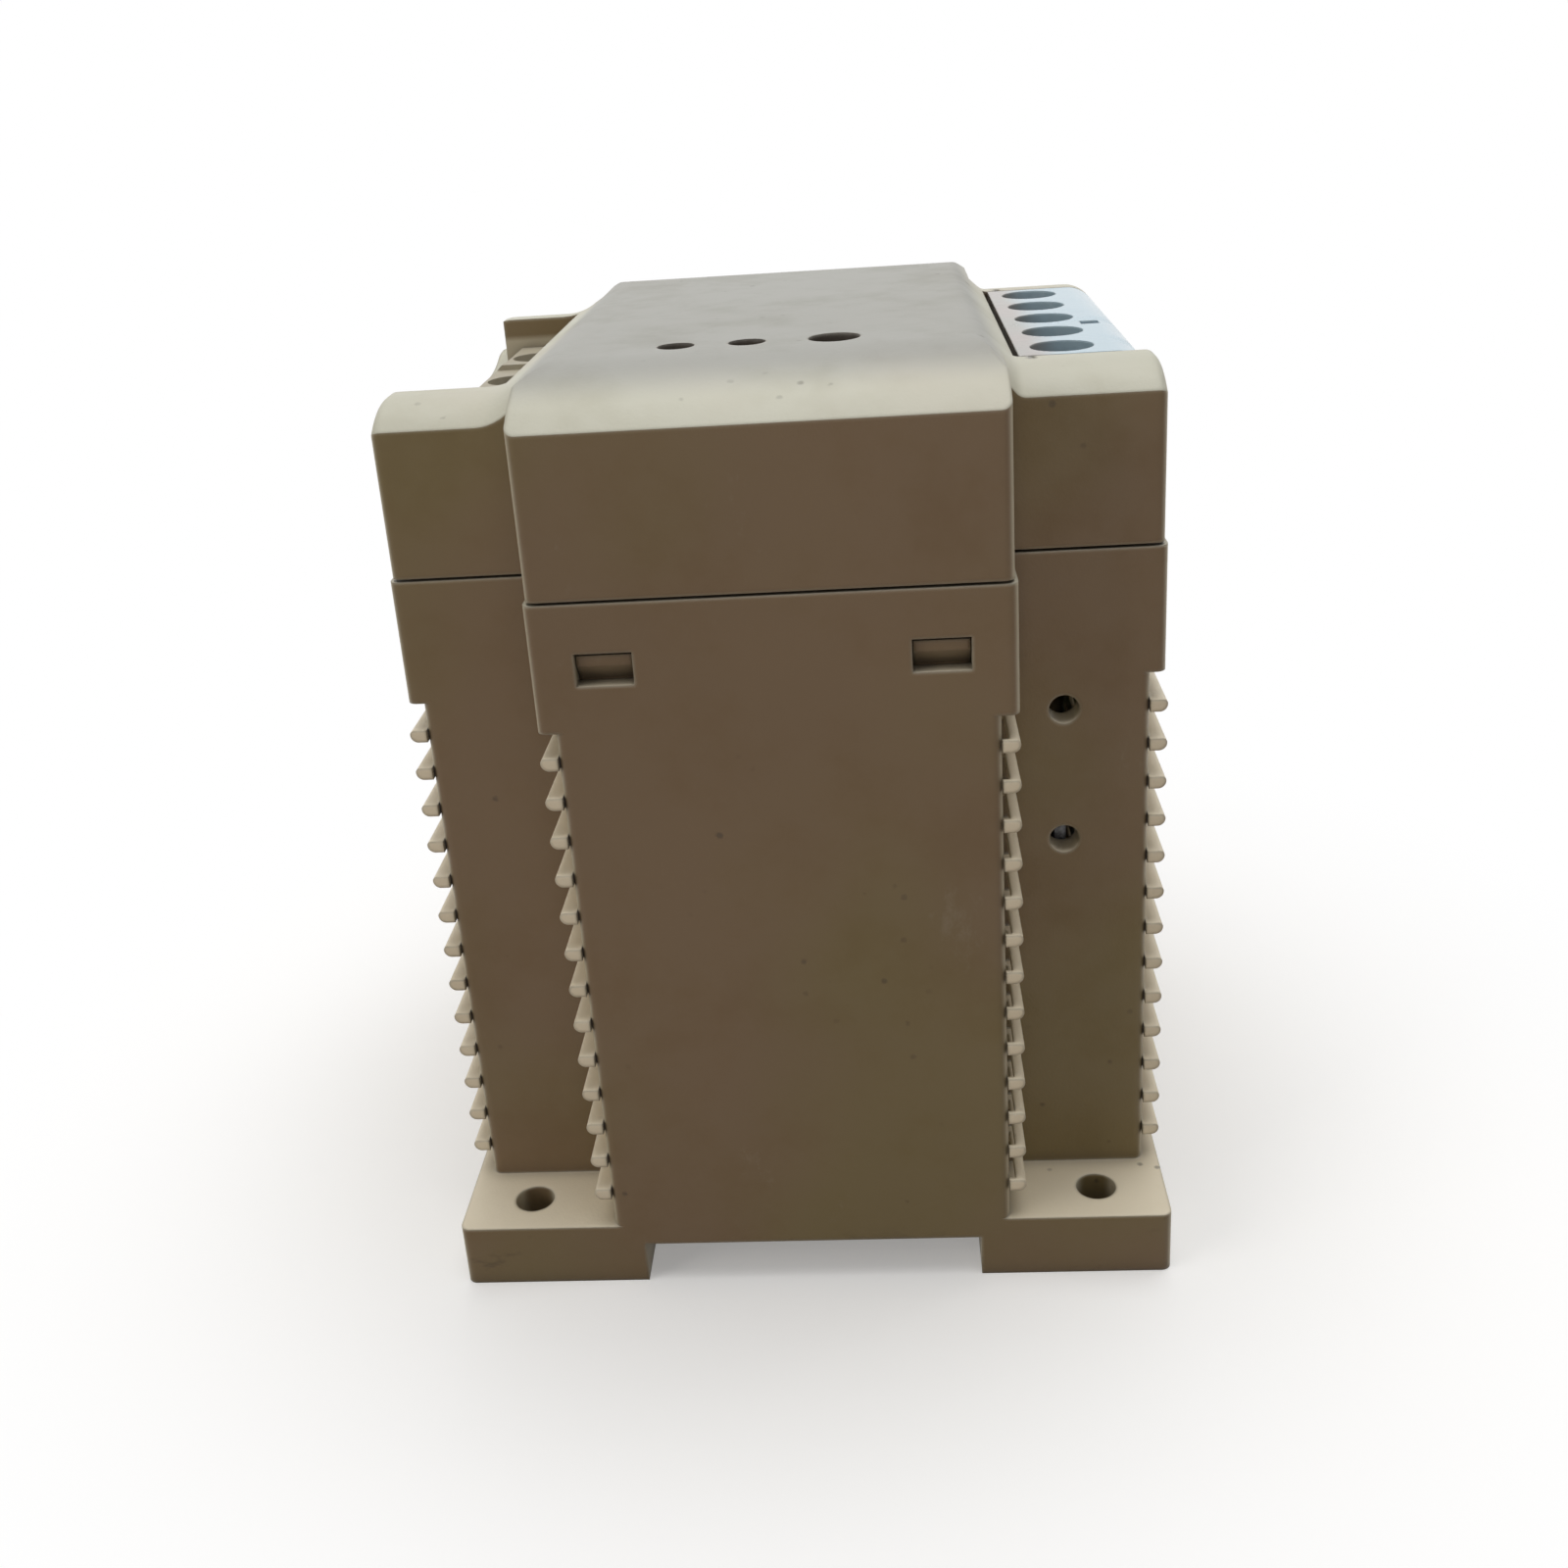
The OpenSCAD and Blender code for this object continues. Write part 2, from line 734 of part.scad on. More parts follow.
cage_w = 6.4;
cage_h = 7;
cage_t = 0.8;
cage_low = front_top + 2.2;

// terminal block with its wire faces towards +X, screws at x = 0
module block(count, pitch, length, back, front, h, barrier, edge) {
    difference() {
        union() {
            span(-back, front, length / 2, front_top, front_top + h);
            if (barrier > 0) for (i = [1 : count - 1])
                translate([0, (i - count / 2) * pitch, front_top + h - eps])
                    span(-back + 1, front, 0.7, 0, barrier + eps);
        }
        poles(count, pitch) {
            // room for the cage, and the funnel that the wire enters by
            span(-3.3, front + 1, cage_w / 2 + fit, cage_low - fit, cage_low + cage_h + fit);
            cylinder(d = screw_d + 0.6, h = 200);
        }
        // upper front edge taken off
        translate([front, 0, front_top + h + barrier]) rotate([0, 45, 0])
            cube([edge, length + 2, edge], center = true);
    }
}

module cage() {
    difference() {
        span(-3.1, 3.1, cage_w / 2, cage_low, cage_low + cage_h);
        span(-4, 4, cage_w / 2 - cage_t, cage_low + cage_t, cage_low + cage_h - cage_t);
        up(cage_low + cage_h - 2) cylinder(r = 1.6, h = 3);
    }
}

module terminal_screw() {
    low = cage_low + cage_h;
    difference() {
        up(low) cylinder(d = screw_d, h = 2.2);
        up(low + 2.2) cube([0.8, screw_d + 1, 2], center = true);
    }
    up(low - cage_t - 0.5) cylinder(r = 1.5, h = cage_t + 0.5 + eps);
}

module output_terminals() {
    color(dark) translate([out_screw_x, 0, 0]) block(out_poles, out_pitch,
        2 * bay_half - 0.4, out_screw_x - ridge_half - slope_out - 0.3,
        cover_wing - wall - 0.3 - out_screw_x, out_block_h, 0, out_edge);
}

module output_cages() {
    color(steel) translate([out_screw_x, 0, 0]) poles(out_poles, out_pitch) cage();
}

module output_screws() {
    color(steel) translate([out_screw_x, 0, 0]) poles(out_poles, out_pitch) terminal_screw();
}

module input_terminals() {
    color([0.55, 0.55, 0.48]) mirror([1, 0, 0]) translate([in_screw_x, 0, 0]) block(in_poles,
        in_pitch, 2 * bay_half - 0.4, in_screw_x - ridge_half - slope_in - 0.3,
        cover_wing - wall - 0.3 - in_screw_x, in_block_h, barrier_h, in_edge);
}

module input_cages() {
    color(steel) mirror([1, 0, 0]) translate([in_screw_x, 0, 0]) poles(in_poles, in_pitch)
        cage();
}

module input_screws() {
    color(steel) mirror([1, 0, 0]) translate([in_screw_x, 0, 0]) poles(in_poles, in_pitch)
        terminal_screw();
}

// ---- indicators and trimmer ----

module lamp() {
    r = lamp_d / 2;
    up(small_top) {
        cylinder(r = r + 0.35, h = 1);
        cylinder(r = r, h = deep - small_top - 0.8 - r);
    }
    intersection() {
        up(deep - 0.8 - r) sphere(r);
        up(deep - 0.8 - r - eps) cylinder(r = lamp_d, h = lamp_d);
    }
}

module running_lamp() {
    color([0.2, 0.75, 0.35]) translate([lamp_x, -row_y, 0]) lamp();
}

module fault_lamp() {
    color([0.7, 0.15, 0.1]) translate([fault_x, -row_y, 0]) lamp();
}

rotor_z = deep - 3.4;

module trimmer_body() {
    color([0.2, 0.35, 0.65]) translate([trim_x, -row_y, 0]) difference() {
        bar([-3.3, -3.3, small_top], [3.3, 3.3, deep - wall - 0.6]);
        up(rotor_z - 1.8) cylinder(d = rotor_d + 0.1, h = 10);
    }
}

module trimmer_rotor() {
    color([0.9, 0.88, 0.8]) translate([trim_x, -row_y, rotor_z]) difference() {
        up(-1.7) cylinder(d = rotor_d, h = 2.9);
        up(1.2) cube([rotor_d + 1, 0.7, 1.6], center = true);
    }
}

// ---- mains side ----

// a part's place on the main board
module seat(x, y) {
    translate([x * kx, y * ky, main_top]) scale(min(kx, ky)) children();
}

module leads(points, h) {
    for (p = points) translate(p) cylinder(r = 0.4, h = h);
}

module disc_part(r, t) {
    up(2.5 + r) rotate([90, 0, 0]) cylinder(r = r, h = t, center = true);
    leads([[-2.5, 0, 0], [2.5, 0, 0]], r);
}

module both_caps() {
    children();
    mirror([0, 0, 1]) children();
}

module fuse() {
    seat(0, 33.4) up(3.6) rotate([0, 90, 0]) {
        color([0.85, 0.85, 0.8]) cylinder(r = 2.4, h = 9, center = true);
        color(steel) both_caps() {
            up(4.5) cylinder(r = 2.7, h = 5);
            translate([0, -0.4, 6]) cube([3.6, 0.8, 1.6]);
        }
    }
}

module varistor() {
    color([0.2, 0.3, 0.6]) seat(11.3, 28.8) disc_part(5, 3.6);
}

module inrush_limiter() {
    color([0.25, 0.35, 0.25]) seat(-11, -26) disc_part(4.5, 4);
}

module filter_choke() {
    seat(-24.5, 17) {
        color(dark) bar([-8, -8, 0], [8, 8, 2]);
        up(4.2) {
            color([0.3, 0.3, 0.32]) difference() {
                cylinder(r = 7, h = 8);
                up(-1) cylinder(r = 3.6, h = 10);
            }
            // two windings, one on each half of the ring
            color(copper) for (s = [0, 180]) rotate(s) rotate_extrude(angle = 130)
                difference() {
                    translate([2.6, -1]) square([5.4, 10]);
                    translate([3.6, 0]) square([3.4, 8]);
                }
        }
        color(dark) for (s = [-1, 1]) bar([s * 5 - 1, -1, 2 - eps], [s * 5 + 1, 1, 3.2]);
    }
}

module x_capacitor() {
    color([0.8, 0.7, 0.2]) seat(-5, 21.75) {
        bar([-9, -3.75, 0.4], [9, 3.75, 14]);
        leads([[-7, 0, 0], [7, 0, 0]], 1);
    }
}

module y_capacitors() {
    color([0.3, 0.5, 0.8]) for (x = [-13, -3]) seat(x, 28.8) disc_part(3.6, 2.6);
}

module bridge_rectifier() {
    seat(-5, -20.3) {
        color(dark) bar([-9, -1.7, 3], [9, 1.7, 16]);
        color(steel) for (x = [-7.5, -2.5, 2.5, 7.5])
            bar([x - 0.5, -0.5, 0], [x + 0.5, 0.4, 3 + eps]);
    }
}

module can(r, h) {
    difference() {
        cylinder(r = r, h = h);
        up(2.4) rotate_extrude() translate([r + 0.2, 0]) circle(0.7);
        up(h - 0.3) for (a = [0, 90]) rotate(a) cube([r, 0.5, 0.8], center = true);
    }
}

module bulk_capacitors() {
    color(can_blue) for (y = [-18.4, -0.2]) seat(-24.5, y) can(7.8, 32);
}

module both_windows(z) {
    children();
    up(2 * z) mirror([0, 0, 1]) children();
}

module transformer_core() {
    color([0.28, 0.28, 0.3]) seat(-5, 0) up(3) difference() {
        bar([-5, -15, 0], [5, 15, 28]);
        both_windows(14) bar([-6, -10, 5], [6, 10, 9.5]);
    }
}

module transformer_winding() {
    seat(-5, 0) up(17) {
        color([0.85, 0.7, 0.25]) difference() {
            bar([-9.2, -8.6, -8.6], [9.2, 8.6, 8.6]);
            bar([-5.1, -10, -4.6], [5.1, 10, 4.6]);
        }
        color(dark) both_ends() {
            difference() {
                bar([-9.8, 8.6, -8.9], [9.8, 9.8, 8.9]);
                bar([-5.1, 8, -4.6], [5.1, 11, 4.6]);
            }
            both_sides() bar([6, 8.6, -17], [9.8, 9.8, -8.8]);
        }
    }
}

// heat sink plate in X and Z with fins towards -Y
module heatsink(w, h, fins) {
    bar([-w / 2, 0, 0], [w / 2, 2, h]);
    for (i = [0 : fins - 1]) bar([-w / 2 + i * (w - 1.2) / (fins - 1), -5, 0],
        [-w / 2 + i * (w - 1.2) / (fins - 1) + 1.2, eps, h]);
}

// package with a metal tab on its back, seated on the sink's face at y = 2
module power_device() {
    color(steel) bar([-5, 2, 6], [5, 3.3, 21.5]);
    color(dark) bar([-5, 3.3, 6], [5, 6.5, 15]);
    color(steel) for (x = [-2.54, 0, 2.54]) bar([x - 0.4, 4.2, 0], [x + 0.4, 4.8, 6 + eps]);
    color(steel) up(18.3) translate([0, 3.3, 0]) rotate([-90, 0, 0]) cylinder(r = 2.4, h = 1.4);
}

module primary_heatsink() {
    color([0.6, 0.62, 0.64]) seat(0, -30.4) heatsink(20, 40, 6);
}

module switching_transistor() {
    seat(0, -30.4) power_device();
}

module secondary_heatsink() {
    color([0.6, 0.62, 0.64]) seat(21, -22.2) heatsink(14, 42, 5);
}

module output_rectifier() {
    seat(21, -22.2) power_device();
}

module output_choke() {
    seat(21, -5.5) {
        color([0.3, 0.3, 0.32]) {
            cylinder(r = 7.5, h = 2);
            cylinder(r = 4, h = 14);
            up(12) cylinder(r = 7.5, h = 2);
        }
        color(copper) up(2) difference() {
            cylinder(r = 6.8, h = 10);
            up(-1) cylinder(r = 4, h = 12);
        }
    }
}

module output_capacitors() {
    color(can_blue) for (p = [[15.5, 9], [26.5, 9], [15.5, 20]]) seat(p[0], p[1]) can(5, 24);
}

module control_chip() {
    translate([link_x + board_t, 0, 0]) {
        color(dark) bar([0.15, -16, 40], [2, -6, 46]);
        color(steel) for (z = [39.1, 46], i = [0 : 3])
            bar([0, -14.8 + i * 2.5, z], [0.3, -13.7 + i * 2.5, z + 0.9]);
    }
}

module optocoupler() {
    translate([link_x + board_t, 0, 0]) {
        color(dark) bar([0.3, -3, 32], [3.6, 3, 38.5]);
        color(steel) for (z = [31.2, 38.5], y = [-2, 1])
            bar([0, y, z], [2, y + 0.9, z + 0.8]);
    }
}

rear_case();
front_cover();
output_cover();
rail_slider();
slider_spring();
main_board();
front_board();
indicator_board();
link_board();
board_header();
board_screws();
input_terminals();
input_screws();
input_cages();
output_terminals();
output_screws();
output_cages();
running_lamp();
fault_lamp();
trimmer_body();
trimmer_rotor();
fuse();
varistor();
inrush_limiter();
filter_choke();
x_capacitor();
y_capacitors();
bridge_rectifier();
bulk_capacitors();
transformer_core();
transformer_winding();
primary_heatsink();
switching_transistor();
secondary_heatsink();
output_rectifier();
output_choke();
output_capacitors();
control_chip();
optocoupler();
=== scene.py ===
import json

import bmesh
import bpy
import numpy as np
from mathutils import Matrix, Vector


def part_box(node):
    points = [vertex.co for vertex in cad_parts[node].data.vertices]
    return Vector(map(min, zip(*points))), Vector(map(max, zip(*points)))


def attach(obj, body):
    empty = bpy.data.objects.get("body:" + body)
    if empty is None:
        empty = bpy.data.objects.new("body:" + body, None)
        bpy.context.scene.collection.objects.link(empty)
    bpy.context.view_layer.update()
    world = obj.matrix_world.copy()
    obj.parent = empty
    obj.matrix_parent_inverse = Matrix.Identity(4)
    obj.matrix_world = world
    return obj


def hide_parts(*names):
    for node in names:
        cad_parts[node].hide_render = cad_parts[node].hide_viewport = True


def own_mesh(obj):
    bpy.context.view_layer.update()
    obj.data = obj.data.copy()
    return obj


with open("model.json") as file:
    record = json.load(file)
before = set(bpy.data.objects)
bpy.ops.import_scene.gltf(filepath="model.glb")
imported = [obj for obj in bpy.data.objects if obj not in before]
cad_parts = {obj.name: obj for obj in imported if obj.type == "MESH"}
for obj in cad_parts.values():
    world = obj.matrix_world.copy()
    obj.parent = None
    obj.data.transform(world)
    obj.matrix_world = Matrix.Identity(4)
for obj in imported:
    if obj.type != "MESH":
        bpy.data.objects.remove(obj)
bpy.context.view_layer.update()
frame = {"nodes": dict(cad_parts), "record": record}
nodes = frame["nodes"]
mm = 0.001


class Socket:
    # one output of a node, with the arithmetic that masks and patterns need
    def __init__(self, tree, output):
        self.tree = tree
        self.output = output

    def maths(self, operation, first, second=0.0):
        n = self.tree.nodes.new("ShaderNodeMath")
        n.operation = operation
        for slot, value in zip(n.inputs, (first, second)):
            if isinstance(value, Socket):
                self.tree.links.new(value.output, slot)
            else:
                slot.default_value = value
        return Socket(self.tree, n.outputs[0])

    def __add__(self, other):
        return self.maths("ADD", self, other)

    def __radd__(self, other):
        return self.maths("ADD", other, self)

    def __sub__(self, other):
        return self.maths("SUBTRACT", self, other)

    def __rsub__(self, other):
        return self.maths("SUBTRACT", other, self)

    def __mul__(self, other):
        return self.maths("MULTIPLY", self, other)

    def __rmul__(self, other):
        return self.maths("MULTIPLY", other, self)

    def __gt__(self, other):
        return self.maths("GREATER_THAN", self, other)

    def __lt__(self, other):
        return self.maths("LESS_THAN", self, other)

    def __abs__(self):
        return self.maths("ABSOLUTE", self)


class Finish:
    # the node tree of a new material, or of a new world
    def __init__(self, name, home="materials"):
        self.owner = getattr(bpy.data, home).new(name)
        self.owner.use_nodes = True
        self.tree = self.owner.node_tree
        self.tree.nodes.clear()

    def node(self, kind, settings=None, inputs=None, output=0):
        # settings go on first, because some of them change the node's sockets
        n = self.tree.nodes.new("ShaderNode" + kind)
        for key, value in (settings or {}).items():
            setattr(n, key, value)
        for key, value in (inputs or {}).items():
            if isinstance(value, Socket):
                self.tree.links.new(value.output, n.inputs[key])
            else:
                n.inputs[key].default_value = value
        return Socket(self.tree, n.outputs[output]) if len(n.outputs) else None

    def place(self):
        return self.node("TexCoord", output="Object")

    def axis(self, vector, letter):
        return self.node("SeparateXYZ", inputs={"Vector": vector}, output=letter)

    def upward(self):
        # 1 on faces that look out of the front, 0 on walls, -1 on undersides
        return self.axis(self.node("TexCoord", output="Normal"), "Z")

    def noise(self, at, scale, detail, rough, stretch=None):
        if stretch:
            at = self.node("Mapping", inputs={"Vector": at, "Scale": stretch})
        return self.node("TexNoise", inputs={
            "Vector": at, "Scale": scale, "Detail": detail, "Roughness": rough})

    def ramp(self, value, low, high):
        # 0 below low, 1 above high, eased in between
        return self.node("MapRange", {"interpolation_type": "SMOOTHSTEP"},
                         {"Value": value, "From Min": low, "From Max": high})

    def patches(self, at, scale, detail, rough, low, high, stretch=None):
        return self.ramp(self.noise(at, scale, detail, rough, stretch), low, high)

    def clip(self, value):
        return self.node("Clamp", inputs={"Value": value})

    def blend(self, mask, first, second, mode="MIX"):
        return self.node("Mix", {"data_type": "RGBA", "blend_type": mode},
                         {0: mask, 6: first, 7: second}, output=2)

    def softened(self, radius, samples=4):
        # the normal, rounded over every edge as if it had this radius
        return self.node("Bevel", {"samples": samples}, {"Radius": radius})

    def bump(self, height, strength, distance, under=None):
        inputs = {"Height": height, "Strength": strength, "Distance": distance}
        if under:
            inputs["Normal"] = under
        return self.node("Bump", inputs=inputs)

    def surface(self, **inputs):
        shader = self.node("BsdfPrincipled", inputs={
            key.replace("_", " "): value for key, value in inputs.items()})
        self.node("OutputMaterial", inputs={"Surface": shader})
        return self.owner


def rgb(red, green, blue):
    return (red, green, blue, 1.0)


# In each look, patches are a noise's scale, detail and roughness, and the two of its values
# between which it is eased from 0 to 1. A bump is a strength and a depth.

mouldedLook = dict(
    bare=rgb(0.60, 0.545, 0.415),     # the plastic's own beige
    rib=rgb(0.94, 0.85, 0.67),        # painted light: ribs, ledges and faces that look up, paled as if lit strongly from the side and above
    ends=rgb(0.200, 0.134, 0.074),    # painted shade: walls at the two ends, dark brown as if in shade under warm light
    endsOlive=rgb(0.195, 0.146, 0.064),
    top=rgb(0.53, 0.525, 0.435),      # faces that look out of the front, high on the case: greyer
    topPink=rgb(0.535, 0.47, 0.39),
    face=rgb(0.285, 0.285, 0.27),     # greyer skin of the raised front
    edge=rgb(0.50, 0.46, 0.36),       # corners paled by wear and a painted highlight; also the colour of the scuffs
    # dark of the specks and foot marks, and of the painted shade in recesses and on the walls
    # of holes
    dirtAndShade=rgb(0.045, 0.032, 0.02),
    slowShade=rgb(0.80, 0.78, 0.74),  # these two darken what lies under them
    cloudShade=rgb(0.86, 0.83, 0.78),

    edgeRadius=0.6 * mm,
    edgeLean=(0.01, 0.16),            # lean of the normal at which an edge begins, and is full
    wallLean=(0.45, 0.92),            # the same for a wall that looks along the rail
    topLean=(0.12, 0.62),
    boreLean=(0.08, 0.3),
    greyTopHeights=(70 * mm, 82 * mm),        # heights between which faces that look up change from the painted light to the greyer top colour
    skinBelow=2.6 * mm,               # the grey skin begins this far below the front,
    skinDepth=2.4 * mm,               # and is full this much higher
    footMarks=(1 * mm, 7 * mm),       # full below the first height, gone above the second
    ribPale=0.95, bayPale=0.8,        # how far ribs and bays escape the painted shade of the end walls
    # the first number is how far faces that look up take the painted light of the ribs
    upwardLight=0.8, blush=0.5, skin=0.85, boreShade=0.9, slow=0.30, cloud=0.25,
    wornAndHighlit=0.75, speck=0.75, scuff=0.12, footMark=0.7,

    shadeReach=2.4 * mm,              # how far the painted shade spreads out of an inside corner
    openEdge=(0.86, 0.99),            # openness at which a worn, highlit edge begins, and is full
    # painted shade in inside corners and crannies: the openness at which each begins, and its
    # strength; the last number keeps most of it off the ribs
    corner=(0.40, 0.92), cornerShade=0.42,
    cranny=(0.10, 0.42), crannyShade=0.5,
    ribsClean=0.88,
    wornAndHighlitEvenly=0.45,                # share of the edge paling that isn't in clouds

    olivePatches=(20, 2, 0.5, 0.40, 0.62),
    blushPatches=(32, 2, 0.5, 0.50, 0.72),
    slowPatches=(26, 3, 0.5, 0.35, 0.70),
    cloudPatches=(110, 6, 0.65, 0.40, 0.75),
    speckPatches=(38, 2, 0.5, 0.52, 0.66),
    scuffPatches=(90, 8, 0.75, 0.62, 0.74, (1.0, 6.0, 0.6)),
    footPatches=(70, 5, 0.7, 0.60, 0.70, (1.0, 1.0, 2.4)),
    raggedNoise=(900, 3, 0.6), ragged=0.09,
    fineSpecks=(330.0, 0.05, 0.14, 0.7),      # cells' scale, core, rim and amount
    coarseSpecks=(105.0, 0.02, 0.05, 0.8),
    grain=(2600, 3, 0.6), grainBump=(0.22, 0.12 * mm),
    wave=(38, 2, 0.5), waveBump=(0.12, 0.6 * mm),
    rough=0.46, cloudRough=0.16, scuffPolish=0.10, edgePolish=0.08,
)

ribPlaces = dict(
    foot=8.5 * mm, top=63.2 * mm,     # the ribs lie between these heights,
    wing=35.85 * mm,                  # beyond this distance from the middle on the wings,
    block=20.85 * mm,                 # and beyond this one on the middle block,
    wingEnd=30.7 * mm,                # which reaches further along the rail than the wings
    bayEnd=23 * mm,                   # a bay's end walls
    bayTop=90.8 * mm, bayFade=(0.5 * mm, 0.4 * mm),
)


def ribMask(f, at, height):
    # 1 on the ribs, found by their place
    ribs = ribPlaces
    across, along = abs(f.axis(at, "X")), abs(f.axis(at, "Y"))
    flanks = (across > ribs["wing"]) + (across > ribs["block"]) * (along > ribs["wingEnd"])
    return f.clip(flanks) * (height > ribs["foot"]) * (height < ribs["top"])


def endWallShadeMask(f, at, height, soft, onRibs):
    # where the painted shade goes: 1 on walls that look along the rail, less on the ribs and
    # inside the terminals' bays
    look, ribs = mouldedLook, ribPlaces
    below, above = ribs["bayFade"]
    underTop = 1 - f.ramp(height, ribs["bayTop"] - below, ribs["bayTop"] + above)
    inBay = (abs(f.axis(at, "Y")) < ribs["bayEnd"]) * underTop
    facing = f.ramp(abs(f.axis(soft, "Y")), *look["wallLean"])
    return facing * (1 - look["ribPale"] * onRibs) * (1 - look["bayPale"] * inBay)


def specks(f, at, ragged, scale, core, rim, amount):
    # a dot in the middle of each cell, full inside its core and gone at its rim
    away = f.node("TexVoronoi", {"feature": "F1"}, {"Vector": at, "Scale": scale})
    return (1 - f.ramp(away + ragged, core, rim)) * amount


def mouldedPlastic(name, faceFrom=None):
    # aged plastic: eroded grain, slow browning, corners paled by wear and a painted highlight,
    # painted shade in the recesses and on the end walls, painted light on ribs and faces that
    # look up; above the height faceFrom it has the greyer skin of the raised front, with
    # painted shade on the walls of its holes
    look = mouldedLook
    f = Finish(name)
    at, upward = f.place(), f.upward()
    height = f.axis(at, "Z")
    soft = f.softened(look["edgeRadius"], 6)
    flat = f.node("NewGeometry", output="Normal")
    lean = 1 - f.node("VectorMath", {"operation": "DOT_PRODUCT"}, {0: soft, 1: flat},
                      output="Value")
    edge = f.ramp(lean, *look["edgeLean"])

    # ground colours by where a face lies and where it looks: painted shade on walls that look
    # along the rail, painted light on ribs and faces that look up
    onRibs = ribMask(f, at, height)
    # painted shade for the walls that look along the rail, olive in patches
    endShade = f.blend(f.patches(at, *look["olivePatches"]), look["ends"], look["endsOlive"])
    colour = f.blend(endWallShadeMask(f, at, height, soft, onRibs),
                     f.blend(onRibs, look["bare"], look["rib"]), endShade)
    topMask = f.ramp(upward, *look["topLean"])
    # painted light: faces that look up are paled towards the pale rib colour, as if lit from
    # above
    colour = f.blend(topMask * look["upwardLight"], colour, look["rib"])
    blush = f.patches(at, *look["blushPatches"]) * look["blush"]
    colour = f.blend(topMask * f.ramp(height, *look["greyTopHeights"]), colour,
                     f.blend(blush, look["top"], look["topPink"]))
    if faceFrom is not None:
        skin = f.ramp(height, faceFrom, faceFrom + look["skinDepth"])
        colour = f.blend(skin * look["skin"], colour, look["face"])
        # painted shade: steep walls high in the raised front, such as the walls of its holes,
        # darkened as if in shade
        boreShade = (1 - f.ramp(abs(upward), *look["boreLean"])) * (height > faceFrom)
        colour = f.blend(boreShade * look["boreShade"], colour, look["dirtAndShade"])

    # uneven ageing
    slow = f.patches(at, *look["slowPatches"])
    colour = f.blend(slow * look["slow"], colour, look["slowShade"], "MULTIPLY")
    cloud = f.patches(at, *look["cloudPatches"])
    colour = f.blend(cloud * look["cloud"], colour, look["cloudShade"], "MULTIPLY")

    # edges paled where they stand free, by wear and a painted highlight; painted shade, dark as
    # dirt, where the surface is shut in
    openness = f.node("AmbientOcclusion", {"samples": 5}, {"Distance": look["shadeReach"]},
                      output="AO")
    evenly = look["wornAndHighlitEvenly"]
    # painted highlight and wear together on free-standing edges
    wornAndHighlit = edge * f.ramp(openness, *look["openEdge"]) * (evenly + (1 - evenly) * cloud)
    colour = f.blend(wornAndHighlit * look["wornAndHighlit"], colour, look["edge"])
    # painted shade: inside corners and crannies darkened by how shut in they are
    recessShade = (1 - f.ramp(openness, *look["corner"])) * look["cornerShade"]
    recessShade = recessShade + (1 - f.ramp(openness, *look["cranny"])) * look["crannyShade"]
    colour = f.blend(recessShade * (1 - look["ribsClean"] * onRibs), colour, look["dirtAndShade"])

    # ragged specks caught in the grain, the fine ones in patches
    ragged = look["ragged"] * (f.noise(at, *look["raggedNoise"]) - 0.5)
    speck = specks(f, at, ragged * 2, *look["fineSpecks"]) * f.patches(
        at, *look["speckPatches"])
    speck = speck + specks(f, at, ragged, *look["coarseSpecks"])
    colour = f.blend(f.clip(speck) * look["speck"], colour, look["dirtAndShade"])

    # light scuffs, and dark marks where the foot of the case was rubbed
    scuffs = f.patches(at, *look["scuffPatches"])
    colour = f.blend(scuffs * look["scuff"], colour, look["edge"])
    low = 1 - f.ramp(height, *look["footMarks"])
    marks = f.patches(at, *look["footPatches"])
    colour = f.blend(low * marks * look["footMark"], colour, look["dirtAndShade"])

    wave = f.bump(f.noise(at, *look["wave"]), *look["waveBump"], soft)
    normal = f.bump(f.noise(at, *look["grain"]), *look["grainBump"], wave)
    rough = look["rough"] + look["cloudRough"] * cloud - look["scuffPolish"] * scuffs
    return f.surface(Base_Color=colour, Roughness=rough - look["edgePolish"] * edge,
                     Normal=normal, IOR=1.52, Specular_IOR_Level=0.42)


lidLook = dict(
    blue=rgb(0.40, 0.545, 0.635),
    pink=rgb(0.34, 0.29, 0.265),
    beige=rgb(0.31, 0.305, 0.27),
    dust=rgb(0.72, 0.76, 0.78), dusting=0.2,
    blueFrom=1.2 * mm, blueFull=4.6 * mm,     # distances from the hinge's edge
    ragged=3.5 * mm,
    cloud=(55, 3, 0.5), cloudBand=(0.42, 0.62),
    dustPatches=(160, 6, 0.6, 0.45, 0.8),
    edgeRadius=0.3 * mm,
    ripple=(900, 2, 0.5), rippleBump=(0.06, 0.1 * mm),
    rough=0.16, dustRough=0.22,
)


def lidPlastic(name):
    # glossy cover with a pale blue cast that dies out towards the hinge
    look = lidLook
    f = Finish(name)
    at = f.place()
    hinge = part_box("output_cover")[0][0]
    cloud = f.noise(at, *look["cloud"])
    fade = f.ramp(f.axis(at, "X") + (cloud - 0.5) * look["ragged"],
                  hinge + look["blueFrom"], hinge + look["blueFull"])
    base = f.blend(f.ramp(cloud, *look["cloudBand"]), look["pink"], look["beige"])
    colour = f.blend(fade, base, look["blue"])
    dusty = f.patches(at, *look["dustPatches"])
    colour = f.blend(dusty * look["dusting"], colour, look["dust"])
    normal = f.bump(f.noise(at, *look["ripple"]), *look["rippleBump"],
                    f.softened(look["edgeRadius"], 6))
    return f.surface(Base_Color=colour, Roughness=look["rough"] + look["dustRough"] * dusty,
                     Normal=normal, IOR=1.5)


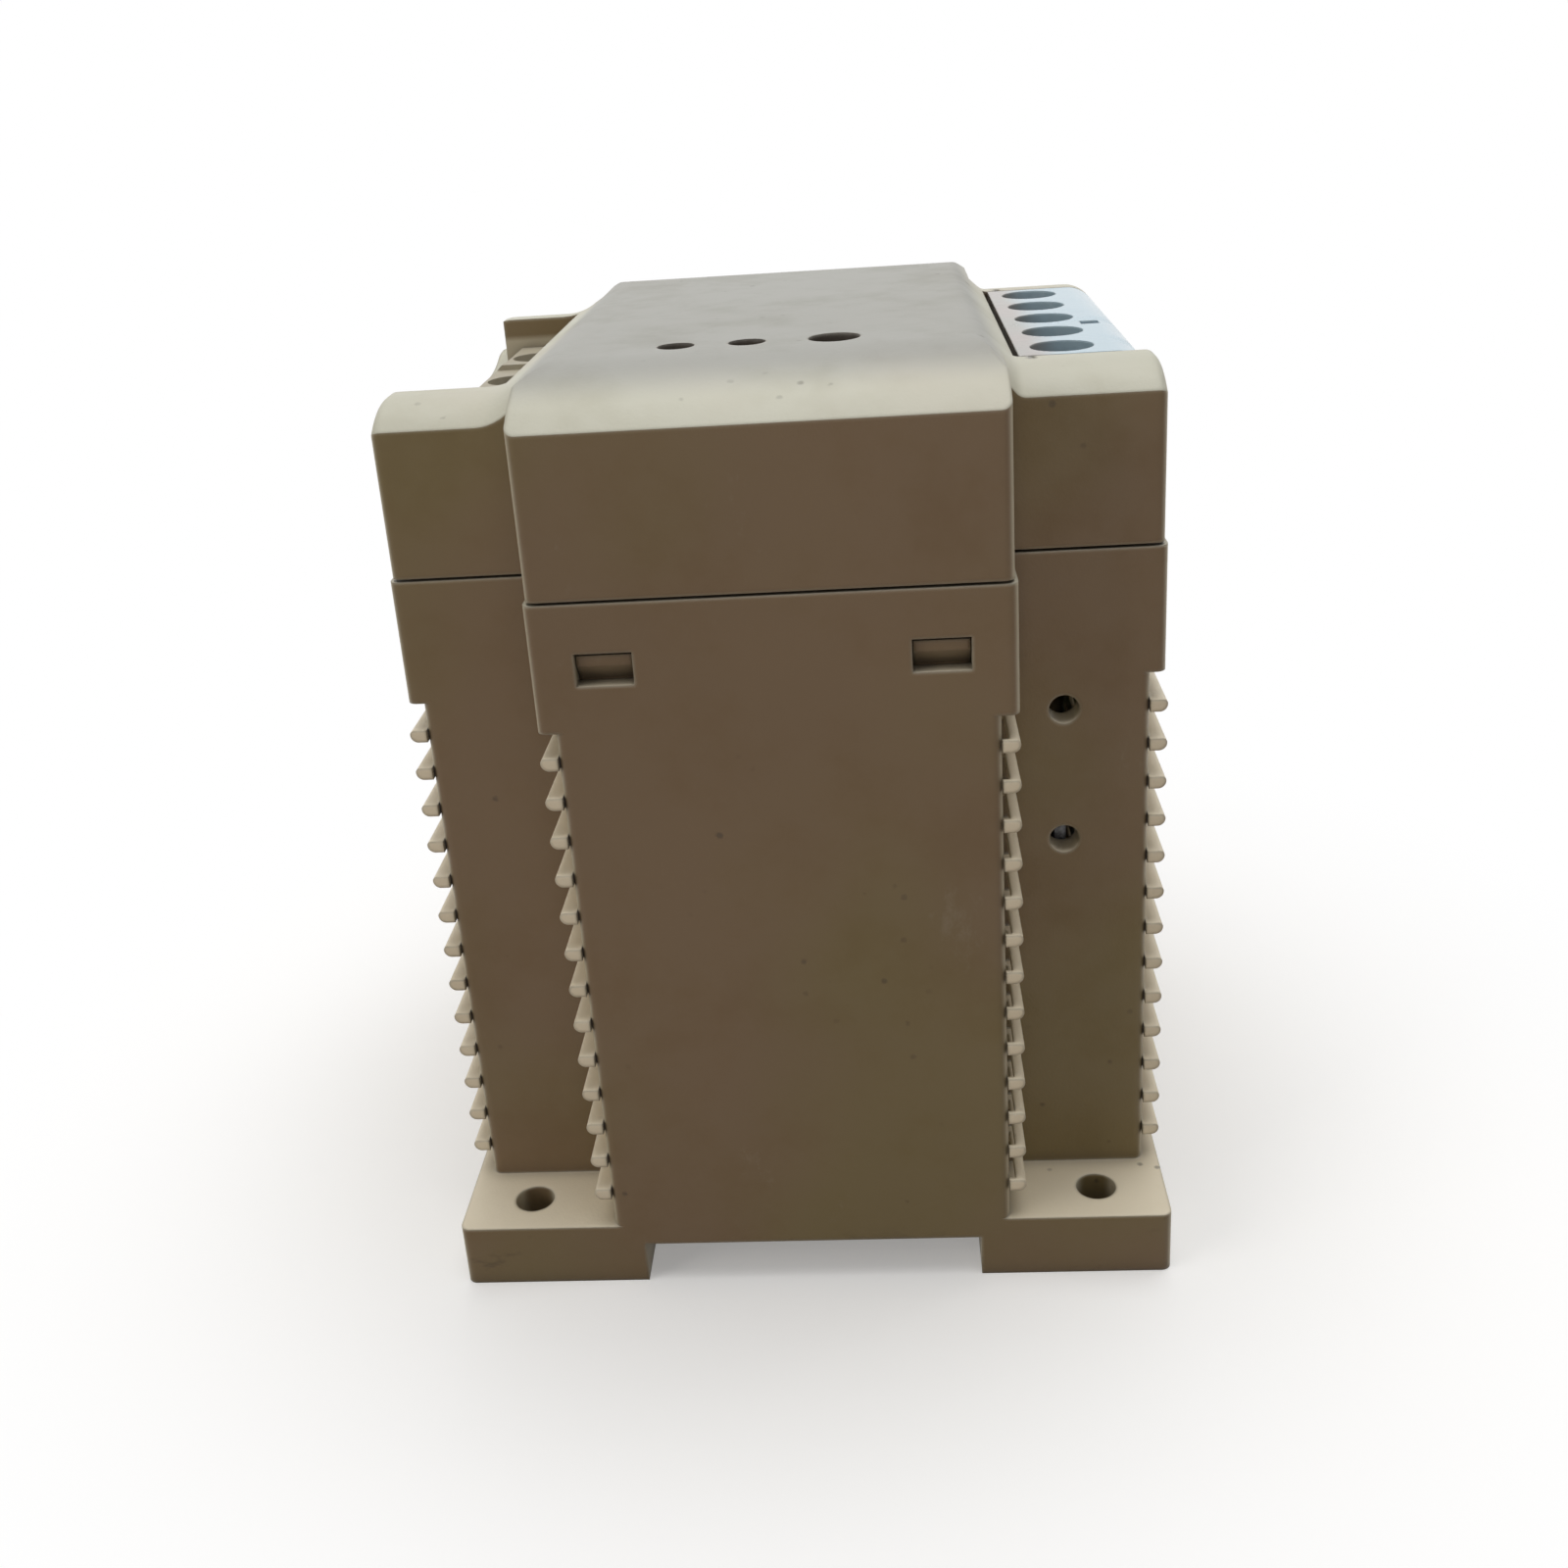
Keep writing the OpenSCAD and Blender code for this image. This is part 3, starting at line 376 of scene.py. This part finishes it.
plainLook = dict(
    cloudPatches=(240, 5, 0.6, 0.35, 0.7),
    shade=rgb(0.7, 0.68, 0.64), mottle=0.2, cloudRough=0.12,
    dust=rgb(0.45, 0.42, 0.36), dusting=0.18, dustLean=(0.3, 0.95),
    edgeRadius=0.18 * mm,
    grain=(2400, 2, 0.5), grainBump=(0.15, 0.1 * mm),
)


def plainPlastic(name, colour, rough, coat=0.0):
    # mottled moulding or lacquer, with dust on what looks out of the front
    look = plainLook
    f = Finish(name)
    at = f.place()
    cloud = f.patches(at, *look["cloudPatches"])
    tint = f.blend(cloud * look["mottle"], colour, look["shade"], "MULTIPLY")
    dust = f.ramp(f.upward(), *look["dustLean"]) * cloud
    tint = f.blend(dust * look["dusting"], tint, look["dust"])
    normal = f.bump(f.noise(at, *look["grain"]), *look["grainBump"],
                    f.softened(look["edgeRadius"]))
    return f.surface(Base_Color=tint, Roughness=rough + look["cloudRough"] * cloud,
                     Normal=normal, Coat_Weight=coat)


plateLook = dict(
    spotPatches=(700, 4, 0.6, 0.4, 0.65),
    spot=rgb(0.55, 0.56, 0.58), spotting=0.4, spotRough=0.18,
    marks=(3200, 2, 0.5, (1.0, 1.0, 6.0)), markBump=(0.12, 0.08 * mm),
    edgeRadius=0.12 * mm,
)


def platedMetal(name, colour, rough):
    # mottled plating with fine turning marks
    look = plateLook
    f = Finish(name)
    at = f.place()
    spots = f.patches(at, *look["spotPatches"])
    tint = f.blend(spots * look["spotting"], colour, look["spot"])
    normal = f.bump(f.noise(at, *look["marks"]), *look["markBump"],
                    f.softened(look["edgeRadius"]))
    return f.surface(Base_Color=tint, Metallic=1.0,
                     Roughness=rough + look["spotRough"] * spots, Normal=normal)


boardLook = dict(
    lacquer=rgb(0.035, 0.16, 0.075), track=rgb(0.07, 0.26, 0.12),
    cellScale=150.0, gap=0.12, gapBand=(0.2, 0.6),
    trackPatches=(60, 2, 0.5, 0.45, 0.55), trackBump=(0.3, 0.05 * mm),
    rough=0.32, trackRough=0.2,
)


def solderMask(name):
    # green lacquer over copper tracks that show as slightly lighter lines
    look = boardLook
    f = Finish(name)
    at = f.place()
    weave = f.node("TexBrick", {"offset": 0.5}, {
        "Vector": at, "Scale": look["cellScale"], "Mortar Size": look["gap"]}, output="Fac")
    tracks = f.ramp(weave, *look["gapBand"]) * f.patches(at, *look["trackPatches"])
    return f.surface(Base_Color=f.blend(tracks, look["lacquer"], look["track"]),
                     Roughness=look["rough"] + look["trackRough"] * tracks,
                     Normal=f.bump(tracks, *look["trackBump"]))


lensTone = dict(
    tintPatches=(900, 3, 0.5, 0.3, 0.7), darker=0.75,
    haze=(500, 2, 0.5), rough=0.14, hazeRough=0.1,
    clear=0.35,
)


def clearLens(name, colour):
    # tinted resin of an unlit lamp
    look = lensTone
    f = Finish(name)
    at = f.place()
    deep = rgb(*(look["darker"] * part for part in colour[:3]))
    tint = f.blend(f.patches(at, *look["tintPatches"]), colour, deep)
    haze = f.noise(at, *look["haze"])
    return f.surface(Base_Color=tint, Roughness=look["rough"] + look["hazeRough"] * haze,
                     Transmission_Weight=look["clear"], IOR=1.5)


coreLook = dict(
    dark=rgb(0.04, 0.04, 0.043), pale=rgb(0.09, 0.09, 0.095),
    pitPatches=(1500, 5, 0.7, 0.35, 0.7), pitBump=(0.3, 0.06 * mm),
    rough=0.62, pitRough=0.2,
)


def sinteredCore(name):
    # pressed powder, pitted all over
    look = coreLook
    f = Finish(name)
    pits = f.patches(f.place(), *look["pitPatches"])
    return f.surface(Base_Color=f.blend(pits, look["dark"], look["pale"]),
                     Roughness=look["rough"] + look["pitRough"] * pits,
                     Normal=f.bump(pits, *look["pitBump"]))


enamelLook = dict(
    deep=rgb(0.60, 0.22, 0.07), bright=rgb(0.75, 0.34, 0.13),
    shadePatches=(600, 3, 0.5, 0.35, 0.65),
    rough=0.26, shadeRough=0.1, metal=0.9, coat=0.6,
)


def enamelWire(name):
    # copper under clear enamel
    look = enamelLook
    f = Finish(name)
    shade = f.patches(f.place(), *look["shadePatches"])
    return f.surface(Base_Color=f.blend(shade, look["deep"], look["bright"]),
                     Metallic=look["metal"], Coat_Weight=look["coat"],
                     Roughness=look["rough"] + look["shadeRough"] * shade)


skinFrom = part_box("front_cover")[1][2] - mouldedLook["skinBelow"]

# one finish for each material slot of the record, and the copper of the added windings
finishes = {
    "case": mouldedPlastic("casePlastic"),
    "cover": mouldedPlastic("coverPlastic", skinFrom),
    "lid": lidPlastic("lidPlastic"),
    "board": solderMask("solderMask"),
    "dark_plastic": plainPlastic("darkMoulding", rgb(0.035, 0.034, 0.033), 0.42),
    "terminal_grey": plainPlastic("terminalMoulding", rgb(0.36, 0.325, 0.245), 0.48),
    "steel": platedMetal("zincPlate", rgb(0.66, 0.66, 0.67), 0.3),
    "lamp_green": clearLens("greenLens", rgb(0.012, 0.085, 0.04)),
    "lamp_red": clearLens("redLens", rgb(0.05, 0.012, 0.01)),
    "trimmer_blue": plainPlastic("trimmerBlue", rgb(0.03, 0.10, 0.36), 0.4),
    "rotor": plainPlastic("rotorBlack", rgb(0.035, 0.034, 0.03), 0.38),
    "fuse_body": plainPlastic("ceramicTube", rgb(0.72, 0.70, 0.64), 0.3, coat=0.4),
    "part_blue": plainPlastic("blueLacquer", rgb(0.03, 0.12, 0.36), 0.3, coat=0.5),
    "part_green": plainPlastic("greenLacquer", rgb(0.05, 0.12, 0.05), 0.55),
    "ferrite": sinteredCore("ferrite"),
    "yellow_box": plainPlastic("yellowBox", rgb(0.62, 0.43, 0.05), 0.38),
    "winding_tape": plainPlastic("windingTape", rgb(0.62, 0.42, 0.06), 0.3, coat=0.3),
    "can_sleeve": plainPlastic("canSleeve", rgb(0.02, 0.028, 0.07), 0.3, coat=0.4),
    "aluminium": platedMetal("blackAnodised", rgb(0.06, 0.06, 0.066), 0.42),
    "copper": enamelWire("enamelledWire"),
    "black_epoxy": plainPlastic("blackEpoxy", rgb(0.022, 0.022, 0.024), 0.55),
}

for part in frame["record"]["subparts"]:
    mesh = nodes[part["node"]].data
    mesh.materials.clear()
    mesh.materials.append(finishes[part["material_slot"]])
print("finishes:", len(finishes))


def makePiece(name, points, faces):
    # points that coincide, such as a pole's, are joined, and the faces turned outwards
    mesh = bpy.data.meshes.new(name)
    mesh.from_pydata(np.asarray(points, float).tolist(), [], faces)
    shell = bmesh.new()
    shell.from_mesh(mesh)
    bmesh.ops.remove_doubles(shell, verts=shell.verts, dist=2e-6)
    bmesh.ops.dissolve_degenerate(shell, edges=shell.edges, dist=1e-7)
    bmesh.ops.recalc_face_normals(shell, faces=shell.faces)
    shell.to_mesh(mesh)
    shell.free()
    mesh.shade_smooth()
    piece = bpy.data.objects.new(name, mesh)
    bpy.context.collection.objects.link(piece)
    return piece


def gridFaces(rows, columns, loopRows, first=0):
    # quads between neighbours; columns always close on themselves
    index = first + np.arange(rows * columns).reshape(rows, columns)
    if loopRows:
        index = np.vstack([index, index[:1]])
    beside = np.roll(index, -1, 1)
    quads = np.stack([index[:-1], beside[:-1], beside[1:], index[1:]], -1)
    return quads.reshape(-1, 4).tolist()


def gridPiece(name, grids, loopRows=False):
    # one mesh from several grids of rows x columns x 3
    points, faces = [], []
    for grid in grids:
        faces += gridFaces(*grid.shape[:2], loopRows, sum(map(len, points)))
        points.append(grid.reshape(-1, 3))
    return makePiece(name, np.concatenate(points), faces)


def turned(profile, centre, steps=56, lying=False):
    # surface of revolution: each (radius, height) of the profile goes round the axis, which
    # is Z, or Y where the shape is lying: centre + (radius cos a, radius sin a, height)
    radius, height = np.array(profile, float).T
    angle = np.linspace(0, 2 * np.pi, steps, endpoint=False)
    flat = [radius[:, None] * np.cos(angle), radius[:, None] * np.sin(angle)]
    level = np.repeat(height[:, None], steps, 1)
    order = [flat[0], level, flat[1]] if lying else [flat[0], flat[1], level]
    return np.stack(order, -1) + np.array(centre)


def arc(centre, radius, start, end, steps=8):
    # centre + radius (cos a, sin a) between two angles in degrees
    angle = np.radians(np.linspace(start, end, steps))
    return np.stack([centre[0] + radius * np.cos(angle),
                     centre[1] + radius * np.sin(angle)], -1)


def wire(path, outward, radius, steps=10):
    # a circle carried along the path: path + radius (cos a * out + sin a * side), with out
    # and side square to the path; at both ends the radius falls to nothing and closes it
    along = np.gradient(path, axis=0)
    along /= np.linalg.norm(along, axis=1, keepdims=True)
    out = outward - (outward * along).sum(1, keepdims=True) * along
    out /= np.linalg.norm(out, axis=1, keepdims=True)
    side = np.cross(along, out)
    angle = np.linspace(0, 2 * np.pi, steps, endpoint=False)[None, :, None]
    size = np.full(len(path), radius)
    size[[0, -1]] = 0
    ring = np.cos(angle) * out[:, None] + np.sin(angle) * side[:, None]
    return path[:, None] + size[:, None, None] * ring


def squircle(angle, power):
    # a circle drawn out towards a square: each coordinate keeps its sign, to a low power
    c, s = np.cos(angle), np.sin(angle)
    return np.sign(c) * abs(c) ** power, np.sign(s) * abs(s) ** power


def dress(piece, finish, node):
    # gives a piece its finish and lets it stand for a node of the case
    piece.data.materials.append(finishes[finish])
    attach(piece, "case")
    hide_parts(node)


def seat(node):
    # the middle of a node's underside, and its height
    low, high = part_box(node)
    return (low[0] + high[0]) / 2, (low[1] + high[1]) / 2, low[2], high[2] - low[2]


lensLook = dict(radius=1.5 * mm, flange=1.85 * mm, flangeHeight=1.0 * mm,
                chamfer=0.1 * mm, step=0.05 * mm, tipSteps=14)


def addLens(name, node, slot):
    # a lamp: a flange, a straight barrel of the radius, and a half-round tip, turned round Z
    look = lensLook
    x, y, z, tall = seat(node)
    r, wide, high = look["radius"], look["flange"], look["flangeHeight"]
    cut = look["chamfer"]
    profile = np.vstack([
        [[0, 0], [wide - cut, 0], [wide, cut], [wide, high - cut], [wide - cut, high],
         [r + look["step"], high], [r, high + cut]],
        arc((0, tall - r), r, 0, 90, look["tipSteps"])])
    dress(gridPiece(name, [turned(profile, (x, y, z))]), slot, node)


addLens("runningLens", "running_lamp", "lamp_green")
addLens("faultLens", "fault_lamp", "lamp_red")


ringLook = dict(
    inner=3.6 * mm, outer=7.0 * mm, half=4.0 * mm, corner=0.7 * mm, middle=8.2 * mm,
    turns=10, turnSteps=44, sweep=128, start=1,       # of a winding, which spans sweep degrees
    turnRadius=5.3 * mm, turnDeep=2.3 * mm, turnHigh=4.62 * mm, turnPower=0.62,
    wire=0.34 * mm,
)

baseLook = dict(
    half=8.0 * mm, steps=72, power=0.25,
    # share of the half width, and height, from the middle of the underside up and back in
    profile=((0, 0), (0.92, 0), (0.97, 0.1 * mm), (1, 0.35 * mm), (1, 1.7 * mm),
             (0.97, 1.95 * mm), (0.9, 2.0 * mm), (0.86, 1.6 * mm), (0, 1.6 * mm)),
    post=((0, 1.2 * mm), (1.1 * mm, 1.2 * mm), (0.9 * mm, 4.6 * mm), (0, 4.6 * mm)),
    postAway=5 * mm, postSteps=20,
)


def addRing(x, y, z):
    # powdered-iron ring: a rectangle with round corners, turned round Z
    look = ringLook
    c = look["corner"]
    outer, inner, half = look["outer"] - c, look["inner"] + c, look["half"] - c
    profile = np.vstack([arc((outer, half), c, 0, 90), arc((inner, half), c, 90, 180),
                         arc((inner, -half), c, 180, 270), arc((outer, -half), c, 270, 360)])
    dress(gridPiece("chokeRing", [turned(profile, (x, y, z))], True), "ferrite",
          "filter_choke")


def addRingBase(x, y, z):
    # moulded base: each level of its profile scales a rounded square; two tapered posts
    look = baseLook
    wide, deep = squircle(np.linspace(0, 2 * np.pi, look["steps"], endpoint=False),
                          look["power"])
    levels = np.array(look["profile"])
    base = np.stack([levels[:, :1] * wide * look["half"] + x,
                     levels[:, :1] * deep * look["half"] + y,
                     np.repeat(levels[:, 1:] + z, look["steps"], 1)], -1)
    posts = [turned(look["post"], (x + away, y, z), look["postSteps"])
             for away in (-look["postAway"], look["postAway"])]
    dress(gridPiece("chokeBase", [base] + posts), "dark_plastic", "filter_choke")


def addRingWindings(x, y, z):
    # each turn is a rounded square in the plane of the ring's radius and Z, and the whole
    # winding goes round the ring meanwhile, at an even pace
    look = ringLook
    t = np.linspace(0, 1, look["turns"] * look["turnSteps"])
    out, up = squircle(2 * np.pi * look["turns"] * t + np.pi / 2, look["turnPower"])
    coils = []
    for half in (0, 180):
        bearing = np.radians(half + look["start"] + look["sweep"] * t)
        radial = np.stack([np.cos(bearing), np.sin(bearing), 0 * bearing], -1)
        path = (look["turnRadius"] + look["turnDeep"] * out)[:, None] * radial
        path[:, 2] = look["turnHigh"] * up
        outward = out[:, None] * radial
        outward[:, 2] = up
        coils.append(wire(path + (x, y, z), outward, look["wire"]))
    dress(gridPiece("chokeWindings", coils), "copper", "filter_choke")


x, y, z = seat("filter_choke")[:3]
addRing(x, y, z + ringLook["middle"])
addRingBase(x, y, z)
addRingWindings(x, y, z + ringLook["middle"])


drumLook = dict(
    flange=7.5 * mm, core=4.0 * mm, height=14 * mm, lip=2 * mm, corner=0.5 * mm,
    fillet=0.3 * mm, dimple=1.2 * mm, dimpleFoot=1.0 * mm, dimpleDepth=0.6 * mm,
    wire=0.45 * mm, layers=(5.45 * mm, 6.34 * mm), turnSteps=40,
)


def addDrumCore(place):
    # two flanges with round rims and a waist between them, turned round Z
    look = drumLook
    c, h, lip, waist = look["corner"], look["height"], look["lip"], look["core"]
    rim, fillet = look["flange"] - c, look["fillet"]
    profile = np.vstack([
        [[0, 0]], arc((rim, c), c, -90, 0), arc((rim, lip - c), c, 0, 90),
        [[waist + fillet, lip], [waist, lip + fillet],
         [waist, h - lip - fillet], [waist + fillet, h - lip]],
        arc((rim, h - lip + c), c, -90, 0), arc((rim, h - c), c, 0, 90),
        [[look["dimple"], h], [look["dimpleFoot"], h - look["dimpleDepth"]],
         [0, h - look["dimpleDepth"]]]])
    dress(gridPiece("drumCore", [turned(profile, place)]), "ferrite", "output_choke")


def addDrumWinding(place):
    # two helices of touching turns, (R cos a, R sin a, level): up inside and back down
    look = drumLook
    r = look["wire"]
    low, high = look["lip"] + r, look["height"] - look["lip"] - r
    turns = (high - low) / (2 * r)
    t = np.linspace(0, 1, int(turns) * look["turnSteps"])
    angle = 2 * np.pi * turns * t
    coils = []
    for radius, level in zip(look["layers"], (low + (high - low) * t, high - (high - low) * t)):
        path = np.stack([radius * np.cos(angle), radius * np.sin(angle), level], -1)
        coils.append(wire(path + place, path * (1, 1, 0), r))
    dress(gridPiece("drumWinding", coils), "copper", "output_choke")


place = seat("output_choke")[:3]
addDrumCore(place)
addDrumWinding(place)


springLook = dict(runs=8, half=2.0 * mm, travel=4.0 * mm, runSteps=8, bendSteps=14,
                  wireSteps=12)


def addSliderSpring():
    # flat wire spring: straight runs along Y joined by half rings, squeezed by the slider
    look = springLook
    low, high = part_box("slider_spring")
    level = (low[2] + high[2]) / 2
    length = high[0] - low[0]
    r = (high[2] - low[2]) / 2
    pitch = (length - 2 * r) / (look["runs"] - 1)
    line = np.linspace(-1, 1, look["runSteps"])
    bend = np.radians(np.linspace(180, 0, look["bendSteps"]))[1:-1]
    stretches = []
    for run in range(look["runs"]):
        way = 1 if run % 2 == 0 else -1
        x = low[0] + r + run * pitch
        stretches.append(np.stack([0 * line + x, way * look["half"] * line], -1))
        if run < look["runs"] - 1:
            stretches.append(np.stack([x + pitch / 2 * (1 + np.cos(bend)),
                                       way * (look["half"] + pitch / 2 * np.sin(bend))], -1))
    flat = np.concatenate(stretches)
    path = np.column_stack([flat, np.full(len(flat), level)])
    outward = np.tile([0.0, 0.0, 1.0], (len(path), 1))
    spring = gridPiece("sliderSpring", [wire(path, outward, r, look["wireSteps"])])
    dress(spring, "steel", "slider_spring")
    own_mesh(spring)


addSliderSpring()


discLook = dict(
    steps=48, rimSteps=12, leadSteps=16,
    leadRadius=0.4 * mm, leadGap=2.5 * mm,
    # shares of the lead's radius, and of its rise to the middle of the disc
    lead=((0, 0), (1, 0), (1, 0.25), (1.5, 0.4), (1.9, 0.7), (0, 0.9)),
)
surgeLook = dict(radius=5 * mm, thickness=3.6 * mm, offsets=(0,))
inrushLook = dict(radius=4.5 * mm, thickness=4 * mm, offsets=(0,))
noiseLook = dict(radius=3.6 * mm, thickness=2.6 * mm, offsets=(-5 * mm, 5 * mm))


def addDiscs(name, node, slot, radius, thickness, offsets):
    # lacquered discs that stand on edge: half the thickness times (1 - (r / R) ^ 4) ^ 0.5,
    # turned round Y, with the lacquer running down two leads
    look = discLook
    middle, y, low, tall = seat(node)
    rise = tall - radius
    share = np.sin(np.linspace(0, np.pi / 2, look["rimSteps"]))
    bulge = thickness / 2 * np.sqrt(1 - share ** 4)
    profile = np.vstack([np.stack([share * radius, bulge], -1),
                         np.stack([share * radius, -bulge], -1)[::-1]])
    lead = np.array(look["lead"]) * (look["leadRadius"], rise)
    for number, offset in enumerate(offsets, 1):
        x = middle + offset
        grids = [turned(profile, (x, y, low + rise), look["steps"], lying=True)]
        grids += [turned(lead, (x + away, y, low), look["leadSteps"])
                  for away in (-look["leadGap"], look["leadGap"])]
        dress(gridPiece(f"{name}{number}", grids), slot, node)


addDiscs("surgeDisc", "varistor", "part_blue", **surgeLook)
addDiscs("inrushDisc", "inrush_limiter", "part_green", **inrushLook)
addDiscs("noiseDisc", "y_capacitors", "part_blue", **noiseLook)
print("pieces made")


cameraLook = dict(
    place=(10.72 * mm, -183.75 * mm, 121.81 * mm),
    yaw=-0.0753, pitch=-0.3775, roll=-0.0702,         # radians
    focal=1713.0 / 1600.0,            # focal length as a share of the image width
    shift=(0.0063, -0.0447),
    sensor=36.0,
    nearest=5 * mm,
)


def addCamera(look):
    cy, sy = np.cos(look["yaw"]), np.sin(look["yaw"])
    cp, sp = np.cos(look["pitch"]), np.sin(look["pitch"])
    cr, sr = np.cos(look["roll"]), np.sin(look["roll"])
    ahead = np.array([sy * cp, cy * cp, sp])
    right = np.array([cy, -sy, 0.0])
    up = np.cross(right, ahead)
    axes = np.stack([cr * right + sr * up, -sr * right + cr * up, -ahead], 1)
    data = bpy.data.cameras.new("camera")
    data.sensor_width = look["sensor"]
    data.lens = look["focal"] * look["sensor"]
    data.shift_x, data.shift_y = look["shift"]
    data.clip_start = look["nearest"]
    camera = bpy.data.objects.new("camera", data)
    bpy.context.collection.objects.link(camera)
    camera.matrix_world = Matrix.Translation(look["place"]) @ Matrix(axes.tolist()).to_4x4()
    bpy.context.scene.camera = camera


lampLook = (
    # name, place, target, size, watts, colour
    ("topPanel", (0.05, 0.10, 0.75), (0, 0, 0.08), 0.75, 4.9, (1.0, 0.99, 0.97)),
    ("leftPanel", (-0.72, -0.42, 0.40), (0, 0, 0.06), 0.45, 1.5, (1.0, 0.95, 0.88)),
    ("frontPanel", (0.15, -0.95, 0.30), (0, 0, 0.05), 0.6, 1.0, (1.0, 0.94, 0.86)),
)


def addLamp(name, place, target, size, watts, colour):
    data = bpy.data.lights.new(name, "AREA")
    data.shape = "SQUARE"
    data.size = size
    data.energy = watts
    data.color = colour
    lamp = bpy.data.objects.new(name, data)
    bpy.context.collection.objects.link(lamp)
    turn = (Vector(place) - Vector(target)).to_track_quat("Z", "Y")
    lamp.matrix_world = Matrix.Translation(place) @ turn.to_matrix().to_4x4()


stageLook = dict(
    floorHalf=2.0,
    drop=0.03 * mm,                   # keeps the floor clear of the feet's undersides
    seen=rgb(0.86, 0.86, 0.86),
    bounced=rgb(0.30, 0.24, 0.18),    # what the floor throws back on to the object
    lift=0.24,                        # glow that makes the floor pale where it is seen
    white=rgb(1, 1, 1),
    shadowEnd=(0.05, 0.12),           # from here outwards the floor fades to white
    sky=rgb(0.95, 0.97, 1.0),
    skyStrength=0.16,
)


def paleRays(f):
    # 1 for what the camera sees, straight on or in gloss and glass
    seen, gloss, glass = [f.node("LightPath", output=f"Is {kind} Ray")
                          for kind in ("Camera", "Glossy", "Transmission")]
    return f.clip(seen + gloss + glass)


def addFloor(look):
    f = Finish("paleFloor")
    pale = paleRays(f)
    diffuse = f.node("BsdfDiffuse", inputs={
        "Color": f.blend(pale, look["bounced"], look["seen"])})
    glow = f.node("Emission", inputs={"Color": look["white"],
                                      "Strength": pale * look["lift"]})
    near = f.node("AddShader", inputs={0: diffuse, 1: glow})
    away = f.node("VectorMath", {"operation": "LENGTH"}, {0: f.place()}, output="Value")
    white = f.node("Emission", inputs={"Color": look["white"], "Strength": 1.0})
    fading = f.node("MixShader", inputs={
        0: f.ramp(away, *look["shadowEnd"]) * pale, 1: near, 2: white})
    # nothing of the floor shows from below, so that the base can be looked at
    below = f.node("NewGeometry", output="Backfacing")
    oneSided = f.node("MixShader", inputs={
        0: below, 1: fading, 2: f.node("BsdfTransparent")})
    f.node("OutputMaterial", inputs={"Surface": oneSided})
    half, level = look["floorHalf"], -look["drop"]
    mesh = bpy.data.meshes.new("floor")
    mesh.from_pydata([(-half, -half, level), (half, -half, level), (half, half, level),
                      (-half, half, level)], [], [(0, 1, 2, 3)])
    mesh.materials.append(f.owner)
    floor = bpy.data.objects.new("floor", mesh)
    bpy.context.collection.objects.link(floor)


def addSky(look):
    f = Finish("studio", "worlds")
    pale = paleRays(f)
    strength = pale * (1 - look["skyStrength"]) + look["skyStrength"]
    background = f.node("Background", inputs={
        "Color": f.blend(pale, look["sky"], look["white"]), "Strength": strength})
    f.node("OutputWorld", inputs={"Surface": background})
    bpy.context.scene.world = f.owner


addCamera(cameraLook)
addFloor(stageLook)
addSky(stageLook)
for lamp in lampLook:
    addLamp(*lamp)
bpy.context.scene.view_settings.view_transform = "Standard"
print("stage set")
